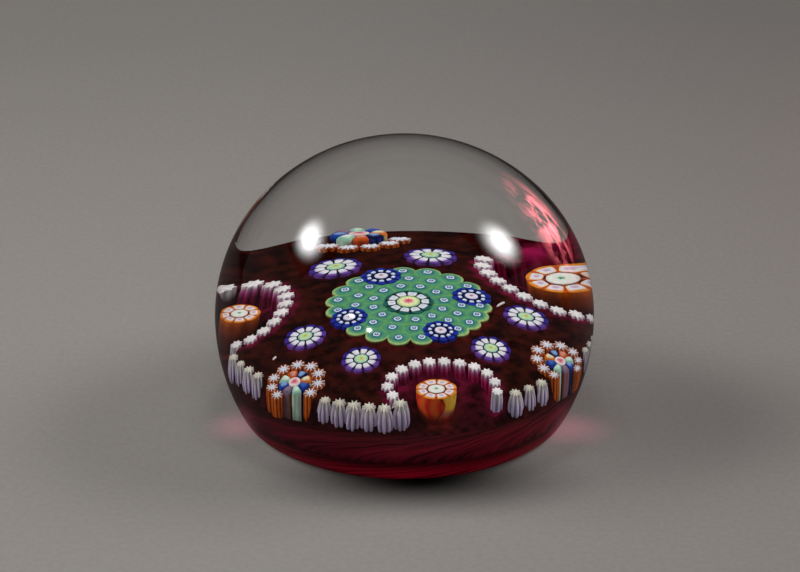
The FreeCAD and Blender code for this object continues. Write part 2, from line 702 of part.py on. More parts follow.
def skirt_blank():
    """Revolve the ground's skirt, which fills the foot of the weight inside the clear skin."""
    body = new_body("ground_skirt")
    sketch = new_sketch(body, "skirt_outline", "XZ_Plane")
    level = size("skirt_edge")
    wall, hollow = draw_base(sketch, size("skin_thickness"), "Sizes.skin_thickness", level)
    shoulder = Vector(size("cushion_radius"), size("skirt_top"), 0)
    close_outline(sketch, [wall.EndPoint, shoulder, Vector(0, shoulder.y, 0), hollow.EndPoint])
    sketch.addConstraint(Sketcher.Constraint("Horizontal", 4))
    bind(sketch, Sketcher.Constraint("DistanceY", -1, 1, 0, 2, level), "edge", "Sizes.skirt_edge")
    bind(sketch, Sketcher.Constraint("DistanceX", -1, 1, 3, 2, shoulder.x), "shoulder",
         "Sizes.cushion_radius")
    bind(sketch, Sketcher.Constraint("DistanceY", -1, 1, 3, 2, shoulder.y), "level", "Sizes.skirt_top")
    revolution = revolve_body(body, sketch, "skirt_turn")
    round_foot(body, revolution, wall.StartPoint.x)
    return body


def cushion_blank():
    """Revolve the ground's cushion, whose top is the setup surface."""
    body = new_body("ground_cushion")
    sketch = new_sketch(body, "cushion_outline", "XZ_Plane")
    curve, top, reach = size("setup_curve"), size("setup_height"), size("cushion_radius")
    foot, level, low = size("cushion_foot"), size("skirt_top"), size("skirt_edge")
    centre = Vector(0, top - curve, 0)
    circle = Part.Circle(centre, Vector(0, 0, 1), curve)
    sketch.addGeometry(Part.ArcOfCircle(circle, math.acos(reach / curve), math.pi / 2), False)
    rim = Vector(reach, centre.y + math.sqrt(curve ** 2 - reach ** 2), 0)
    corners = [Vector(0, top, 0), Vector(0, low, 0), Vector(foot, low, 0), Vector(foot, level, 0), rim]
    for before, after in zip(corners, corners[1:]):
        sketch.addGeometry(Part.LineSegment(before, after), False)
    for index in range(1, 4):
        sketch.addConstraint(Sketcher.Constraint("Coincident", index, 2, index + 1, 1))
    sketch.addConstraint(Sketcher.Constraint("Coincident", 0, 2, 1, 1))
    sketch.addConstraint(Sketcher.Constraint("Coincident", 4, 2, 0, 1))
    sketch.addConstraint(Sketcher.Constraint("PointOnObject", 0, 3, -2))
    sketch.addConstraint(Sketcher.Constraint("PointOnObject", 0, 2, -2))
    sketch.addConstraint(Sketcher.Constraint("PointOnObject", 1, 2, -2))
    sketch.addConstraint(Sketcher.Constraint("Horizontal", 2))
    sketch.addConstraint(Sketcher.Constraint("Vertical", 3))
    bind(sketch, Sketcher.Constraint("Radius", 0, curve), "curve", "Sizes.setup_curve")
    bind(sketch, Sketcher.Constraint("DistanceY", -1, 1, 0, 2, top), "top", "Sizes.setup_height")
    bind(sketch, Sketcher.Constraint("DistanceX", -1, 1, 0, 1, reach), "rim", "Sizes.cushion_radius")
    bind(sketch, Sketcher.Constraint("DistanceY", -1, 1, 1, 2, low), "low", "Sizes.skirt_edge")
    bind(sketch, Sketcher.Constraint("DistanceX", -1, 1, 2, 2, foot), "foot", "Sizes.cushion_foot")
    bind(sketch, Sketcher.Constraint("DistanceY", -1, 1, 3, 2, level), "level", "Sizes.skirt_top")
    revolve_body(body, sketch, "cushion_turn")
    put_on_pattern(body)
    return body


def scoop(loop):
    """Shape the hollow inside one loop: upright walls and a floor that falls towards the wall."""
    middle = polar(size("orange_ring"), LOOP_STEP * loop)
    floor = middle + Vector(0, 0, setup_level(middle) - size("scoop_depth"))
    round_hole = document.addObject("Part::Cylinder", f"scoop_round_{loop}")
    round_hole.setExpression("Radius", "Sizes.scoop_radius")
    round_hole.setExpression("Height", "Sizes.total_height")
    round_hole.Placement = Placement(middle, Rotation())
    above = document.addObject("Part::Box", f"scoop_floor_{loop}")
    for side in ("Length", "Width", "Height"):
        above.setExpression(side, "2 * Sizes.outer_radius")
    turn = Rotation(LOOP_STEP * loop, size("scoop_slope"), 0)
    half = size("outer_radius")
    above.Placement = Placement(floor - turn.multVec(Vector(half, half, 0)), turn)
    hollow = document.addObject("Part::Common", f"scoop_{loop}")
    hollow.Base, hollow.Tool = round_hole, above
    return hollow


def ground_blank():
    """Join the ground's skirt and cushion, and hollow out the inside of each loop."""
    joined = document.addObject("Part::Fuse", "ground_joined")
    joined.Base, joined.Tool = skirt_blank(), cushion_blank()
    scoops = gather("scoops", [scoop(loop) for loop in range(LOOPS)])
    put_on_pattern(scoops)
    blank = document.addObject("Part::Cut", "ground_blank")
    blank.Base, blank.Tool = joined, scoops
    return blank


def cut_out(name, base, tools):
    """Cut a set of pieces out of a bigger one."""
    cut = document.addObject("Part::Cut", name)
    cut.Base, cut.Tool = base, gather(f"{name}_tools", tools)
    cut.Label = name
    return cut


# ---------------------------------------------------------------- cane groups

def flower_canes(colour, spots, count, fill, flat=False):
    """Build canes of one kind: a heart, a ring of petals round it, and the casing round both."""
    blank = rods(f"{colour}_blank", spots, f"{colour}_radius", flat=flat)
    hearts = rods(f"{colour}_cane_hearts", spots, f"{colour}_heart", flat=flat)
    ring = petals(f"{colour}_cane_petals", spots, f"{colour}_petal_in", f"{colour}_petal_out",
                  count, fill, flat)
    shell = casing(f"{colour}_cane_casings", blank, [hearts, ring])
    return blank, [hearts, ring, shell]


def middle_cane():
    """Build the big cane in the middle: pink star, cream disc, pale petals and teal casing."""
    spots = middle_places()
    blank = rods("middle_blank", spots, "middle_radius")
    star = rods("middle_cane_star", spots, "middle_star")
    disc = rods("middle_cane_disc", spots, "middle_disc", "middle_star")
    ring = petals("middle_cane_petals", spots, "middle_petal_in", "middle_petal_out",
                  MIDDLE_PETALS, 0.84)
    shell = casing("middle_cane_casing", blank, [star, disc, ring])
    return blank, [star, disc, ring, shell]


def carpet():
    """Build the green canes round the middle one, each with its eye, cut round their neighbours."""
    blank = carpet_blank()
    rings = carpet_rounds("carpet_cane_rings", "eye_radius", "eye_dot")
    eyes = carpet_rounds("carpet_cane_eyes", "eye_dot")
    return blank, [rings, eyes, casing("carpet_cane_bodies", blank, [rings, eyes])]


def clusters():
    """Build the cane in the middle of each cluster: a heart with eight coloured segments round it."""
    spots = cluster_places()
    blank = rods("cluster_blank", spots, "cluster_radius")
    hearts = rods("cluster_hearts", spots, "cluster_heart")
    segments = [petals(f"cluster_{colour}_segments", segment_places(order), "cluster_segment_in",
                       "cluster_segment", CLUSTER_SEGMENTS, 0.94, single=True)
                for colour, order in SEGMENT_COLOURS]
    shell = casing("cluster_casings", blank, [hearts] + segments)
    return blank, [hearts] + segments + [shell]


# ---------------------------------------------------------------- the whole weight

def build():
    """Build every piece of the weight and return the ones to be written."""
    inside, edge = garland_points()
    middle_outer, middle = middle_cane()
    carpet_outer, greens = carpet()
    blue_outer, blues = flower_canes("blue", blue_places(), BLUE_PETALS, 0.62)
    purple_outer, purples = flower_canes("purple", purple_places(), PURPLE_PETALS, 0.8)
    orange_outer, oranges = flower_canes("orange", orange_places(), ORANGE_PETALS, 0.86, flat=True)
    cluster_outer, cluster_parts = clusters()
    star_sets = [
        star_canes("loop_cane", inside, "loop_rod", "loop_star", "loop_waist"),
        star_canes("edge_cane", edge, "edge_rod", "edge_star", "edge_waist"),
        star_canes("cluster_cane", cluster_rod_points(), "cluster_rod", "cluster_star", "cluster_waist"),
    ]
    slivers = stray_slivers()
    flush = [middle_outer, carpet_outer, blue_outer, purple_outer]
    standing = [orange_outer, cluster_outer] + [blank for blank, stars, shells in star_sets]
    ground = ground_blank()
    crystal_over_ground = document.addObject("Part::Cut", "crystal_over_ground")
    crystal_over_ground.Base, crystal_over_ground.Tool = crystal_blank(), ground
    pieces = [cut_out("crystal_dome", crystal_over_ground, standing + [slivers]),
              cut_out("ruby_ground", ground, flush + standing)]
    pieces += middle + greens + blues + purples + oranges + cluster_parts + [slivers]
    for blank, stars, shells in star_sets:
        pieces += [stars, shells]
    return pieces


def check(pieces):
    """Stop if any object failed, or if any piece is empty or broken."""
    for item in document.Objects:
        if "Invalid" in item.State or "Error" in item.State:
            raise RuntimeError(f"{item.Name} did not compute: {item.State}")
    for piece in pieces:
        if piece.Shape.isNull() or not piece.Shape.isValid() or not piece.Shape.Solids:
            raise RuntimeError(f"{piece.Label} has no valid solid")


def write(pieces):
    os.makedirs("parts", exist_ok=True)
    for piece in pieces:
        piece.Shape.exportStep(os.path.join("parts", f"{piece.Label}.step"))
        print(f"{piece.Label}: {len(piece.Shape.Solids)} solids")


fill_sheet()
parts = build()
document.recompute()
check(parts)
write(parts)
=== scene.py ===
"""Garland paperweight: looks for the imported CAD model.

A clear crystal dome is one closed glass shell.  The ruby ground and the glass canes stand inside it as
opaque pieces, placed and sized from the CAD nodes.  Lengths are millimetres; only the studio is in metres.
"""
import math
import random

import bpy
import numpy as np
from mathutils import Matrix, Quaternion, Vector


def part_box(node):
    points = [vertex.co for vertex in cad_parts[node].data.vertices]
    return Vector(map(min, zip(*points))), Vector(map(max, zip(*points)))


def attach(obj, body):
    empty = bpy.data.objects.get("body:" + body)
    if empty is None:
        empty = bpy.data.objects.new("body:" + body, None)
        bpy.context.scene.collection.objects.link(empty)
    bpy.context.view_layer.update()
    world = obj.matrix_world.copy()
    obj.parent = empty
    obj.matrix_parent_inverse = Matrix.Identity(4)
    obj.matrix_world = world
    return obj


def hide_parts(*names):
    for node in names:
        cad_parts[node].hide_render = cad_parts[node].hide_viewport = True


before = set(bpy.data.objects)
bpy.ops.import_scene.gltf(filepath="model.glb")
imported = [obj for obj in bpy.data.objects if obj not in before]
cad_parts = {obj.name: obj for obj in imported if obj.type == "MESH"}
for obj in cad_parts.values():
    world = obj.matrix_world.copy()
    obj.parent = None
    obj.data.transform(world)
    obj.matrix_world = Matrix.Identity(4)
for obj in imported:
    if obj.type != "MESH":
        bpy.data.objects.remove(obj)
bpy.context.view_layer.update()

MM = 0.001
random.seed(11)

# Outline of the crystal and of the ground inside it.
EQUATOR = 19.3     # height of the widest ring
CROWN_CURVE, WALL_CURVE = 37.2, 38.4    # radii of the outline's top and of its lower wall
FOOT_ROUND = 3.0   # radius of the corner between the wall and the base
HOLLOW_REACH, HOLLOW_DEPTH = 24.0, 1.0
SKIN = 1.4         # crystal between the ground's wall and the outside
CLEAR = 0.08       # the same under the ground's foot
CUSHION_RIM, CUSHION_FOOT = 24.1, 25.6  # radii of the cushion's top and foot, round the pattern's centre
SKIRT_TOP, SKIRT_EDGE = 9.0, 5.6        # heights where the cushion ends and the wall's outline starts
CUSHION_LOW = SKIRT_TOP - 0.3           # lowest height of the cushion's top
SETUP_CURVE = 52.0                      # radius of the sphere on which the cane tops lie
SCOOP_DEPTH, SCOOP_SLOPE = 3.5, math.radians(35)   # depth of a loop's floor at its orange cane; its slope
SUNK = 0.32        # how far the ground lies below the cane tops
BACK_BRIM = 0.7    # rise of the ground's rim behind the pattern
GAP_DROP = 4.8     # how far the ground is cut away in front of a cluster
CANE_LENGTH = 5.2


# -------- colours

def srgb(red, green, blue):
    """Turn a display colour, 0 to 255, into linear light."""
    return tuple((c / 255 / 12.92) if c <= 10 else ((c / 255 + 0.055) / 1.055) ** 2.4
                 for c in (red, green, blue))


def mix(first, second, share):
    """Blend two colours; share 0 gives the first, 1 the second."""
    share = min(1.0, max(0.0, share))
    return tuple(a + (b - a) * share for a, b in zip(first, second))


def scaled(values, factor):
    """Multiply a colour or a point by a number."""
    return tuple(value * factor for value in values)


def ramp(stops, value):
    """Read a colour from a list of (position, colour) stops."""
    if value <= stops[0][0]:
        return stops[0][1]
    for (low, first), (high, second) in zip(stops, stops[1:]):
        if value <= high:
            return mix(first, second, (value - low) / (high - low))
    return stops[-1][1]


def smooth(low, high, value):
    """Rise smoothly from 0 at low to 1 at high; low may be the larger one."""
    share = min(1.0, max(0.0, (value - low) / (high - low)))
    return share * share * (3 - 2 * share)


WHITE = srgb(232, 230, 238)
IVORY = srgb(246, 240, 238)
CREAM = srgb(226, 220, 196)
ICE = srgb(196, 216, 226)
LAVENDER = srgb(168, 156, 190)
RUBY_DARK = srgb(34, 7, 4)
NAVY = srgb(14, 22, 76)
MID_BLUE = srgb(28, 66, 158)
SKY = srgb(134, 168, 216)
MINT = srgb(158, 208, 184)
ORANGE = srgb(208, 98, 24)
RUST = srgb(96, 36, 10)
# The ruby's skirt and foot run from dark at the top to bright crimson at the foot: a painted glow, which
# lit_ring brightens further on one side.
SKIRT_DARK, SKIRT_MID, SKIRT_BRIGHT = srgb(38, 6, 8), srgb(54, 5, 12), srgb(168, 12, 42)


# -------- reading the CAD frame

def solids(node):
    """Split a CAD node into its separate solids and return each one's lowest and highest corner."""
    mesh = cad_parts[node].data
    flat = np.empty(len(mesh.vertices) * 3, np.float32)
    mesh.vertices.foreach_get("co", flat)
    points = flat.reshape(-1, 3).astype(float) / MM
    parent = list(range(len(points)))

    def find(item):
        while parent[item] != item:
            parent[item] = parent[parent[item]]
            item = parent[item]
        return item

    def join(items):
        for other in items[1:]:
            parent[find(other)] = find(items[0])

    same_place = {}
    for index, point in enumerate(np.round(points, 3)):
        same_place.setdefault(tuple(point), []).append(index)
    for items in same_place.values():
        join(items)
    for face in mesh.polygons:
        join(list(face.vertices))
    groups = {}
    for index in range(len(points)):
        groups.setdefault(find(index), []).append(index)
    boxes = [(points[group].min(0), points[group].max(0)) for group in groups.values()]
    return sorted(boxes, key=lambda box: tuple(np.round(box[0] + box[1], 2)))


PATTERN = np.array(sum(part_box("middle_cane_star"), Vector()))[:2] / 2 / MM
SETUP_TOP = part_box("middle_cane_star")[1].z / MM
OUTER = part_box("crystal_dome")[1].x / MM
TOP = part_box("crystal_dome")[1].z / MM


class Cane:
    """One cane of the pattern: its middle, and its place round the pattern's centre."""

    def __init__(self, box):
        low, high = box
        self.x, self.y = (low[:2] + high[:2]) / 2
        self.reach = math.hypot(self.x - PATTERN[0], self.y - PATTERN[1])
        self.bearing = math.atan2(self.y - PATTERN[1], self.x - PATTERN[0])

    def at(self, distance, angle):
        """Return a point round the cane; angle 0 points away from the pattern's centre."""
        turned = self.bearing + angle
        return self.x + distance * math.cos(turned), self.y + distance * math.sin(turned)

    def seen_from(self, x, y):
        """Return how far a point lies outwards of the cane, and how far sideways."""
        dx, dy = x - self.x, y - self.y
        return (dx * math.cos(self.bearing) + dy * math.sin(self.bearing),
                dy * math.cos(self.bearing) - dx * math.sin(self.bearing))


def canes(node):
    """Return the canes that a CAD node is made of."""
    return [Cane(box) for box in solids(node)]


def level(x, y):
    """Return the height of the cane tops over a point."""
    reach = math.hypot(x - PATTERN[0], y - PATTERN[1])
    return SETUP_TOP - SETUP_CURVE + math.sqrt(SETUP_CURVE ** 2 - reach ** 2)


# -------- mesh building

def around(count):
    """Return the cosine and sine of evenly spaced angles."""
    turns = [2 * math.pi * k / count for k in range(count)]
    return [(math.cos(turn), math.sin(turn)) for turn in turns]


class Shape:
    """Collects the points, faces and colours of one mesh, and where the clouds in its glass are read."""

    def __init__(self):
        self.points, self.faces, self.tints, self.flows = [], [], [], []

    def ring(self, points, tints, flows=None):
        """Add a ring of points and return their numbers."""
        first = len(self.points)
        self.points += points
        self.tints += tints
        self.flows += flows or points
        return list(range(first, len(self.points)))

    def close(self, ring, point, tint, flip=False):
        """Close a ring with a fan round one point."""
        tip = self.ring([point], [tint])[0]
        for pair in zip(ring, ring[1:] + ring[:1]):
            self.faces.append((tip,) + (pair[::-1] if flip else pair))

    def skin(self, rings, top, foot):
        """Join rings from the top down and close both ends; top and foot are a point and its colour."""
        for upper, lower in zip(rings, rings[1:]):
            for k in range(len(upper)):
                after = (k + 1) % len(upper)
                self.faces.append((upper[k], lower[k], lower[after], upper[after]))
        self.close(rings[0], *top)
        self.close(rings[-1], *foot, flip=True)


def make_piece(name, shape, material, nodes, smooth_angle=50):
    """Turn a shape into an object that rides on the weight and stands for CAD nodes, which it hides."""
    mesh = bpy.data.meshes.new(name)
    mesh.from_pydata([scaled(point, MM) for point in shape.points], [], shape.faces)
    tint = mesh.attributes.new("tint", "FLOAT_COLOR", "POINT")
    tint.data.foreach_set("color", [c for colour in shape.tints for c in (*colour, 1.0)])
    flow = mesh.attributes.new("flow", "FLOAT_VECTOR", "POINT")
    flow.data.foreach_set("vector", [c for point in shape.flows for c in point])
    mesh.materials.append(material)
    mesh.update()
    mesh.shade_smooth()
    mesh.set_sharp_from_angle(angle=math.radians(smooth_angle))
    piece = bpy.data.objects.new(name, mesh)
    bpy.context.scene.collection.objects.link(piece)
    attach(piece, "root")
    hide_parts(*nodes)


def column(shape, cane, segments, shares, depths, radius, colour, lift=0.0, crown=0.0, lean=(0, 0), tilt=1.0):
    """Add an upright cane: a top of rings at shares of its radius, and a side of rings at depths.

    radius(angle, depth) and colour(angle, share, depth) give its outline and its colours, crown its
    doming, lean how far its foot is pushed sideways, and tilt how much the top follows the setup surface.
    """
    length = depths[-1]
    middle = level(cane.x, cane.y) + lift

    def ring_at(share, depth):
        points, tints = [], []
        for k in range(segments):
            angle = 2 * math.pi * k / segments
            x, y = cane.at(radius(angle, depth) * share, angle)
            push = (depth / length) ** 2
            top = middle + tilt * (level(x, y) + lift - middle) + crown * (1 - share ** 2)
            points.append((x + lean[0] * push, y + lean[1] * push, top - depth))
            tints.append(colour(angle, share, depth))
        return shape.ring(points, tints)

    rings = [ring_at(share, depths[0]) for share in reversed(shares)]
    rings += [ring_at(1.0, depth) for depth in depths[1:]]
    shape.skin(rings, ((cane.x, cane.y, middle + crown), colour(0, 0, 0)),
               ((cane.x + lean[0], cane.y + lean[1], middle - length), colour(0, 1, length)))


def petal(shape, cane, near, far, width, angle, colour, lift, depths, square=4.5, segments=24, crown=0.05,
          tilt=1.0, wedge=0.65, rim=0.03, shares=(0.9, 0.6, 0.3)):
    """Add one petal round a cane: a rounded block from near to far, and width wide at its middle.

    wedge is the part of its width that grows with the distance from the cane's middle, and rim the drop
    of its top's edge.
    """
    reach = (near + far) / 2
    middle = level(cane.x, cane.y)

    def height(x, y):
        return middle + tilt * (level(x, y) - middle) + lift

    def ring_at(share, sunk):
        points, tints = [], []
        for pair in around(segments):
            along, across = (math.copysign(abs(c) ** (2 / square), c) * share for c in pair)
            out = reach + along * (far - near) / 2
            side = across * width / 2 * (1 - wedge + wedge * out / reach)
            x, y = cane.at(math.hypot(out, side), angle + math.atan2(side, out))
            points.append((x, y, height(x, y) + crown * (1 - share ** 2) - sunk))
            tints.append(colour(along, across, share, sunk))
        return shape.ring(points, tints)

    rings = [ring_at(share, 0.0) for share in reversed(shares)]
    rings += [ring_at(1.0, sunk) for sunk in (rim, *depths)]
    x, y = cane.at(reach, angle)
    top = height(x, y)
    shape.skin(rings, ((x, y, top + crown), colour(0, 0, 0, 0)),
               ((x, y, top - depths[-1]), colour(0, 0, 1, depths[-1])))


# -------- materials

def add_node(tree, kind, inputs=(), **settings):
    """Add a shader node with some of its inputs and settings filled in."""
    node = tree.nodes.new("ShaderNode" + kind)
    for key, value in settings.items():
        setattr(node, key, value)
    for key, value in dict(inputs).items():
        node.inputs[key].default_value = value
    return node


def add_range(tree, low, high, start, end, kind="LINEAR"):
    """Add a node that turns a value from low..high into start..end."""
    return add_node(tree, "MapRange", {"From Min": low, "From Max": high, "To Min": start, "To Max": end},
                    interpolation_type=kind)


def link_all(tree, pairs):
    """Link pairs of shader sockets."""
    for source, target in pairs:
        tree.links.new(source, target)


def new_material(name, inputs):
    """Make a material and return it with its node tree and its main shader."""
    material = bpy.data.materials.new(name)
    material.use_nodes = True
    shader = material.node_tree.nodes["Principled BSDF"]
    for key, value in inputs.items():
        shader.inputs[key].default_value = value
    return material, material.node_tree, shader


def cane_glass(name, scale, spread, stretch=(1, 1, 1), rough=0.5, sheen=0.05, sharp=0.25, peak=0.6):
    """Make opaque glass: the piece's own colours, clouded by noise, with a faint uneven surface.

    spread is how much the clouds darken the glass, peak how much of that they brighten it.
    """
    material, tree, shader = new_material(name, {"Roughness": rough, "Specular IOR Level": sheen})
    tint = add_node(tree, "Attribute", attribute_name="tint")
    flow = add_node(tree, "Attribute", attribute_name="flow")
    mapping = add_node(tree, "Mapping", {"Scale": stretch})
    noise = add_node(tree, "TexNoise", {"Scale": scale, "Detail": 5})
    gain = add_range(tree, 0.5 - sharp, 0.5 + sharp, 1 - spread, 1 + spread * peak)
    paint = add_node(tree, "VectorMath", operation="SCALE")
    bump = add_node(tree, "Bump", {"Strength": 0.15, "Distance": 0.0001})
    link_all(tree, [
        (flow.outputs["Vector"], mapping.inputs["Vector"]),
        (mapping.outputs["Vector"], noise.inputs["Vector"]),
        (noise.outputs["Fac"], gain.inputs["Value"]),
        (tint.outputs["Color"], paint.inputs[0]),
        (gain.outputs["Result"], paint.inputs["Scale"]),
        (paint.outputs["Vector"], shader.inputs["Base Color"]),
        (noise.outputs["Fac"], bump.inputs["Height"]),
        (bump.outputs["Normal"], shader.inputs["Normal"]),
    ])
    return material


def glass_piece(name, shape, *nodes, scale=3.0, spread=0.12, smooth_angle=50, **look):
    """Make a piece of opaque glass for CAD nodes; the look's settings are those of cane_glass."""
    make_piece(name, shape, cane_glass(name + "_glass", scale, spread, **look), nodes, smooth_angle)


def clear_crystal():
    """Make clear crystal that lets lamps light what stands inside it."""
    material, tree, shader = new_material("clear_crystal", {
        "Transmission Weight": 1.0, "IOR": 1.52, "Specular IOR Level": 0.3,
        "Base Color": (0.985, 0.992, 0.988, 1)})
    wave = add_node(tree, "TexNoise", {"Scale": 45})
    rough = add_range(tree, 0, 1, 0.0, 0.012)
    veil = add_node(tree, "BsdfTransparent")
    path = add_node(tree, "LightPath")
    side = add_node(tree, "NewGeometry")
    dim = add_range(tree, 0, 1, 0.38, 0.95)
    blend = add_node(tree, "MixShader")
    link_all(tree, [
        (wave.outputs["Fac"], rough.inputs["Value"]),
        (rough.outputs["Result"], shader.inputs["Roughness"]),
        (side.outputs["Backfacing"], dim.inputs["Value"]),
        (dim.outputs["Result"], veil.inputs["Color"]),
        (path.outputs["Is Shadow Ray"], blend.inputs["Fac"]),
        (shader.outputs["BSDF"], blend.inputs[1]),
        (veil.outputs["BSDF"], blend.inputs[2]),
        (blend.outputs["Shader"], tree.nodes["Material Output"].inputs["Surface"]),
    ])
    return material


# -------- crystal and foot

def arc(centre, radius, start, end, steps):
    """Return points along an arc, ends included."""
    return [(centre[0] + radius * math.cos(start + (end - start) * k / steps),
             centre[1] + radius * math.sin(start + (end - start) * k / steps)) for k in range(steps + 1)]


def foot_outline(inset, lift, top):
    """Return the outline from the wall at a height, down round the foot and along the hollow base."""
    centre = (OUTER - WALL_CURVE, EQUATOR)
    radius = WALL_CURVE - inset
    round_z = lift + FOOT_ROUND
    round_x = centre[0] + math.sqrt((radius - FOOT_ROUND) ** 2 - (EQUATOR - round_z) ** 2)
    touch = math.atan2(round_z - EQUATOR, round_x - centre[0])
    wall = arc(centre, radius, math.asin((top - EQUATOR) / radius), touch, 24)
    corner = arc((round_x, round_z), FOOT_ROUND, touch, -math.pi / 2, 12)[1:]
    flat = [(round_x + (HOLLOW_REACH - round_x) * k / 4, lift) for k in range(1, 5)]
    curve = (HOLLOW_REACH ** 2 + HOLLOW_DEPTH ** 2) / (2 * HOLLOW_DEPTH)
    inward = [HOLLOW_REACH * (1 - k / 12) for k in range(1, 12)]
    hollow = [(r, lift + HOLLOW_DEPTH - curve + math.sqrt(curve ** 2 - r ** 2)) for r in inward]
    return wall + corner + flat + hollow


def dome_outline():
    """Return the outline of the dome from near the axis down to the widest ring."""
    drop = CROWN_CURVE - (TOP - EQUATOR)
    shoulder = (CROWN_CURVE ** 2 - drop ** 2 - OUTER ** 2) / (2 * (CROWN_CURVE - OUTER))
    crown_centre = (0, TOP - CROWN_CURVE)
    shoulder_centre = (OUTER - shoulder, EQUATOR)
    lean = math.atan2(shoulder_centre[1] - crown_centre[1], shoulder_centre[0])
    crown = arc(crown_centre, CROWN_CURVE, math.pi / 2, lean, 40)[1:]
    return crown + arc(shoulder_centre, shoulder, lean, 0, 60)[1:]


DOME_SEGMENTS = 256


def crystal_shell():
    """Build the outside of the weight as one closed glass shell."""
    shape = Shape()
    clear = (1, 1, 1)
    circle = around(DOME_SEGMENTS)
    outline = dome_outline() + foot_outline(0, 0, EQUATOR)[1:]
    rings = [shape.ring([(r * c, r * s, z) for c, s in circle], [clear] * len(circle)) for r, z in outline]
    shape.skin(rings, ((0, 0, TOP), clear), ((0, 0, HOLLOW_DEPTH), clear))
    make_piece("crystal_shell", shape, clear_crystal(), ["crystal_dome"], 30)


# -------- ruby ground

GROUND_SEGMENTS = 420
TOP_RINGS, SIDE_RINGS, SKIRT_RINGS = 96, 10, 22
WALL_START = 5         # first point of the foot's outline below the skirt's edge
WALL_POINTS = 30       # outline points, about, from there to the flat base
SCOOP_WALL = 0.7       # width of the steep wall round a loop's floor
SWIRL_REACH, SWIRL_RISE = 10, 0.12     # size of the ruby's swirl round the foot, and up it
BRIGHT_SIDE = math.radians(-44)        # where the ruby glows most: at the front right
CLOUDS = 0.3           # how much wider the clouds are on the ground's top than the streaks on its skirt
ROW_REACH = 10.5       # star canes nearer to an orange cane than this go round its loop,
ROW_HALF_WIDTH = 9.2   # except those at the cushion's edge that stand further sideways than this
EDGE_REACH = 23.2      # canes further out than this stand at the cushion's edge
MOUTH_REACH = 14.0     # how far a loop's open side reaches
UNDER_CLUSTER, BESIDE_CLUSTER = (3.4, 2.6), (4.6, 3.6)   # where the cut round a cluster starts and is full
GAP_LENGTH = 9.0       # how far the cut reaches in front of a cluster


class Loop:
    """One garland loop: the orange cane in its middle and the distance to its row of star canes."""

    def __init__(self, orange, row):
        self.orange = orange
        table = sorted(self.place(cane.x, cane.y) for cane in row)
        self.turns = [turn for turn, distance in table]
        self.distances = [distance for turn, distance in table]

    def place(self, x, y):
        """Return a point's angle round the orange cane, from straight outwards on, and its distance."""
        dx, dy = x - self.orange.x, y - self.orange.y
        return (math.atan2(dy, dx) - self.orange.bearing) % (2 * math.pi), math.hypot(dx, dy)

    def depth_inside(self, x, y):
        """Return how far a point lies inside the row of canes: negative outside it."""
        turn, distance = self.place(x, y)
        if self.turns[0] <= turn <= self.turns[-1]:
            return float(np.interp(turn, self.turns, self.distances)) - distance
        outward, _ = self.orange.seen_from(x, y)
        return MOUTH_REACH if outward > 0 and distance < MOUTH_REACH else -1.0

    def floor(self, x, y):
        """Return the height of the scooped floor, which falls towards the wall."""
        outward, _ = self.orange.seen_from(x, y)
        return level(self.orange.x, self.orange.y) - SCOOP_DEPTH - outward * math.tan(SCOOP_SLOPE)


def make_loops():
    """Pair each orange cane with the star canes that go round it."""
    stars = canes("loop_cane_stars") + canes("edge_cane_stars")
    loops = []
    for orange in canes("orange_cane_hearts"):
        row = []
        for cane in stars:
            outward, sideways = orange.seen_from(cane.x, cane.y)
            in_row = cane.reach < EDGE_REACH or abs(sideways) < ROW_HALF_WIDTH
            if in_row and math.hypot(outward, sideways) < ROW_REACH:
                row.append(cane)
        loops.append(Loop(orange, row))
    return loops


LOOPS = make_loops()
CLUSTERS = canes("cluster_hearts")


def cluster_gap(x, y):
    """Return 1 where the ground is cut away under and in front of a cluster, falling to 0 beside it."""
    gap = 0.0
    for cane in CLUSTERS:
        outward, sideways = cane.seen_from(x, y)
        gap = max(gap, smooth(*UNDER_CLUSTER, math.hypot(outward, sideways)))
        if 0 < outward < GAP_LENGTH:
            gap = max(gap, smooth(*BESIDE_CLUSTER, abs(sideways)))
    return gap


def back_ridge(x, y):
    """Return 1 on the narrow ridge of ruby that closes the loops behind the pattern."""
    return smooth(21, 22.5, math.hypot(x - PATTERN[0], y - PATTERN[1])) * smooth(9, 14, y)


def ground_top(x, y):
    """Return the height of the ground and its depth inside a loop, from 0 to 1."""
    reach = math.hypot(x - PATTERN[0], y - PATTERN[1])
    brim = BACK_BRIM * smooth(21, 23.5, reach) * smooth(6, 16, y)
    plain = level(x, y) - SUNK + brim - GAP_DROP * cluster_gap(x, y) * smooth(-2, 2, -y)
    for loop in LOOPS:
        inside = loop.depth_inside(x, y)
        if inside > 0:
            share = smooth(0.0, SCOOP_WALL, inside) * (1 - back_ridge(x, y))
            return plain + (min(plain, loop.floor(x, y)) - plain) * share, share
    return plain, 0.0


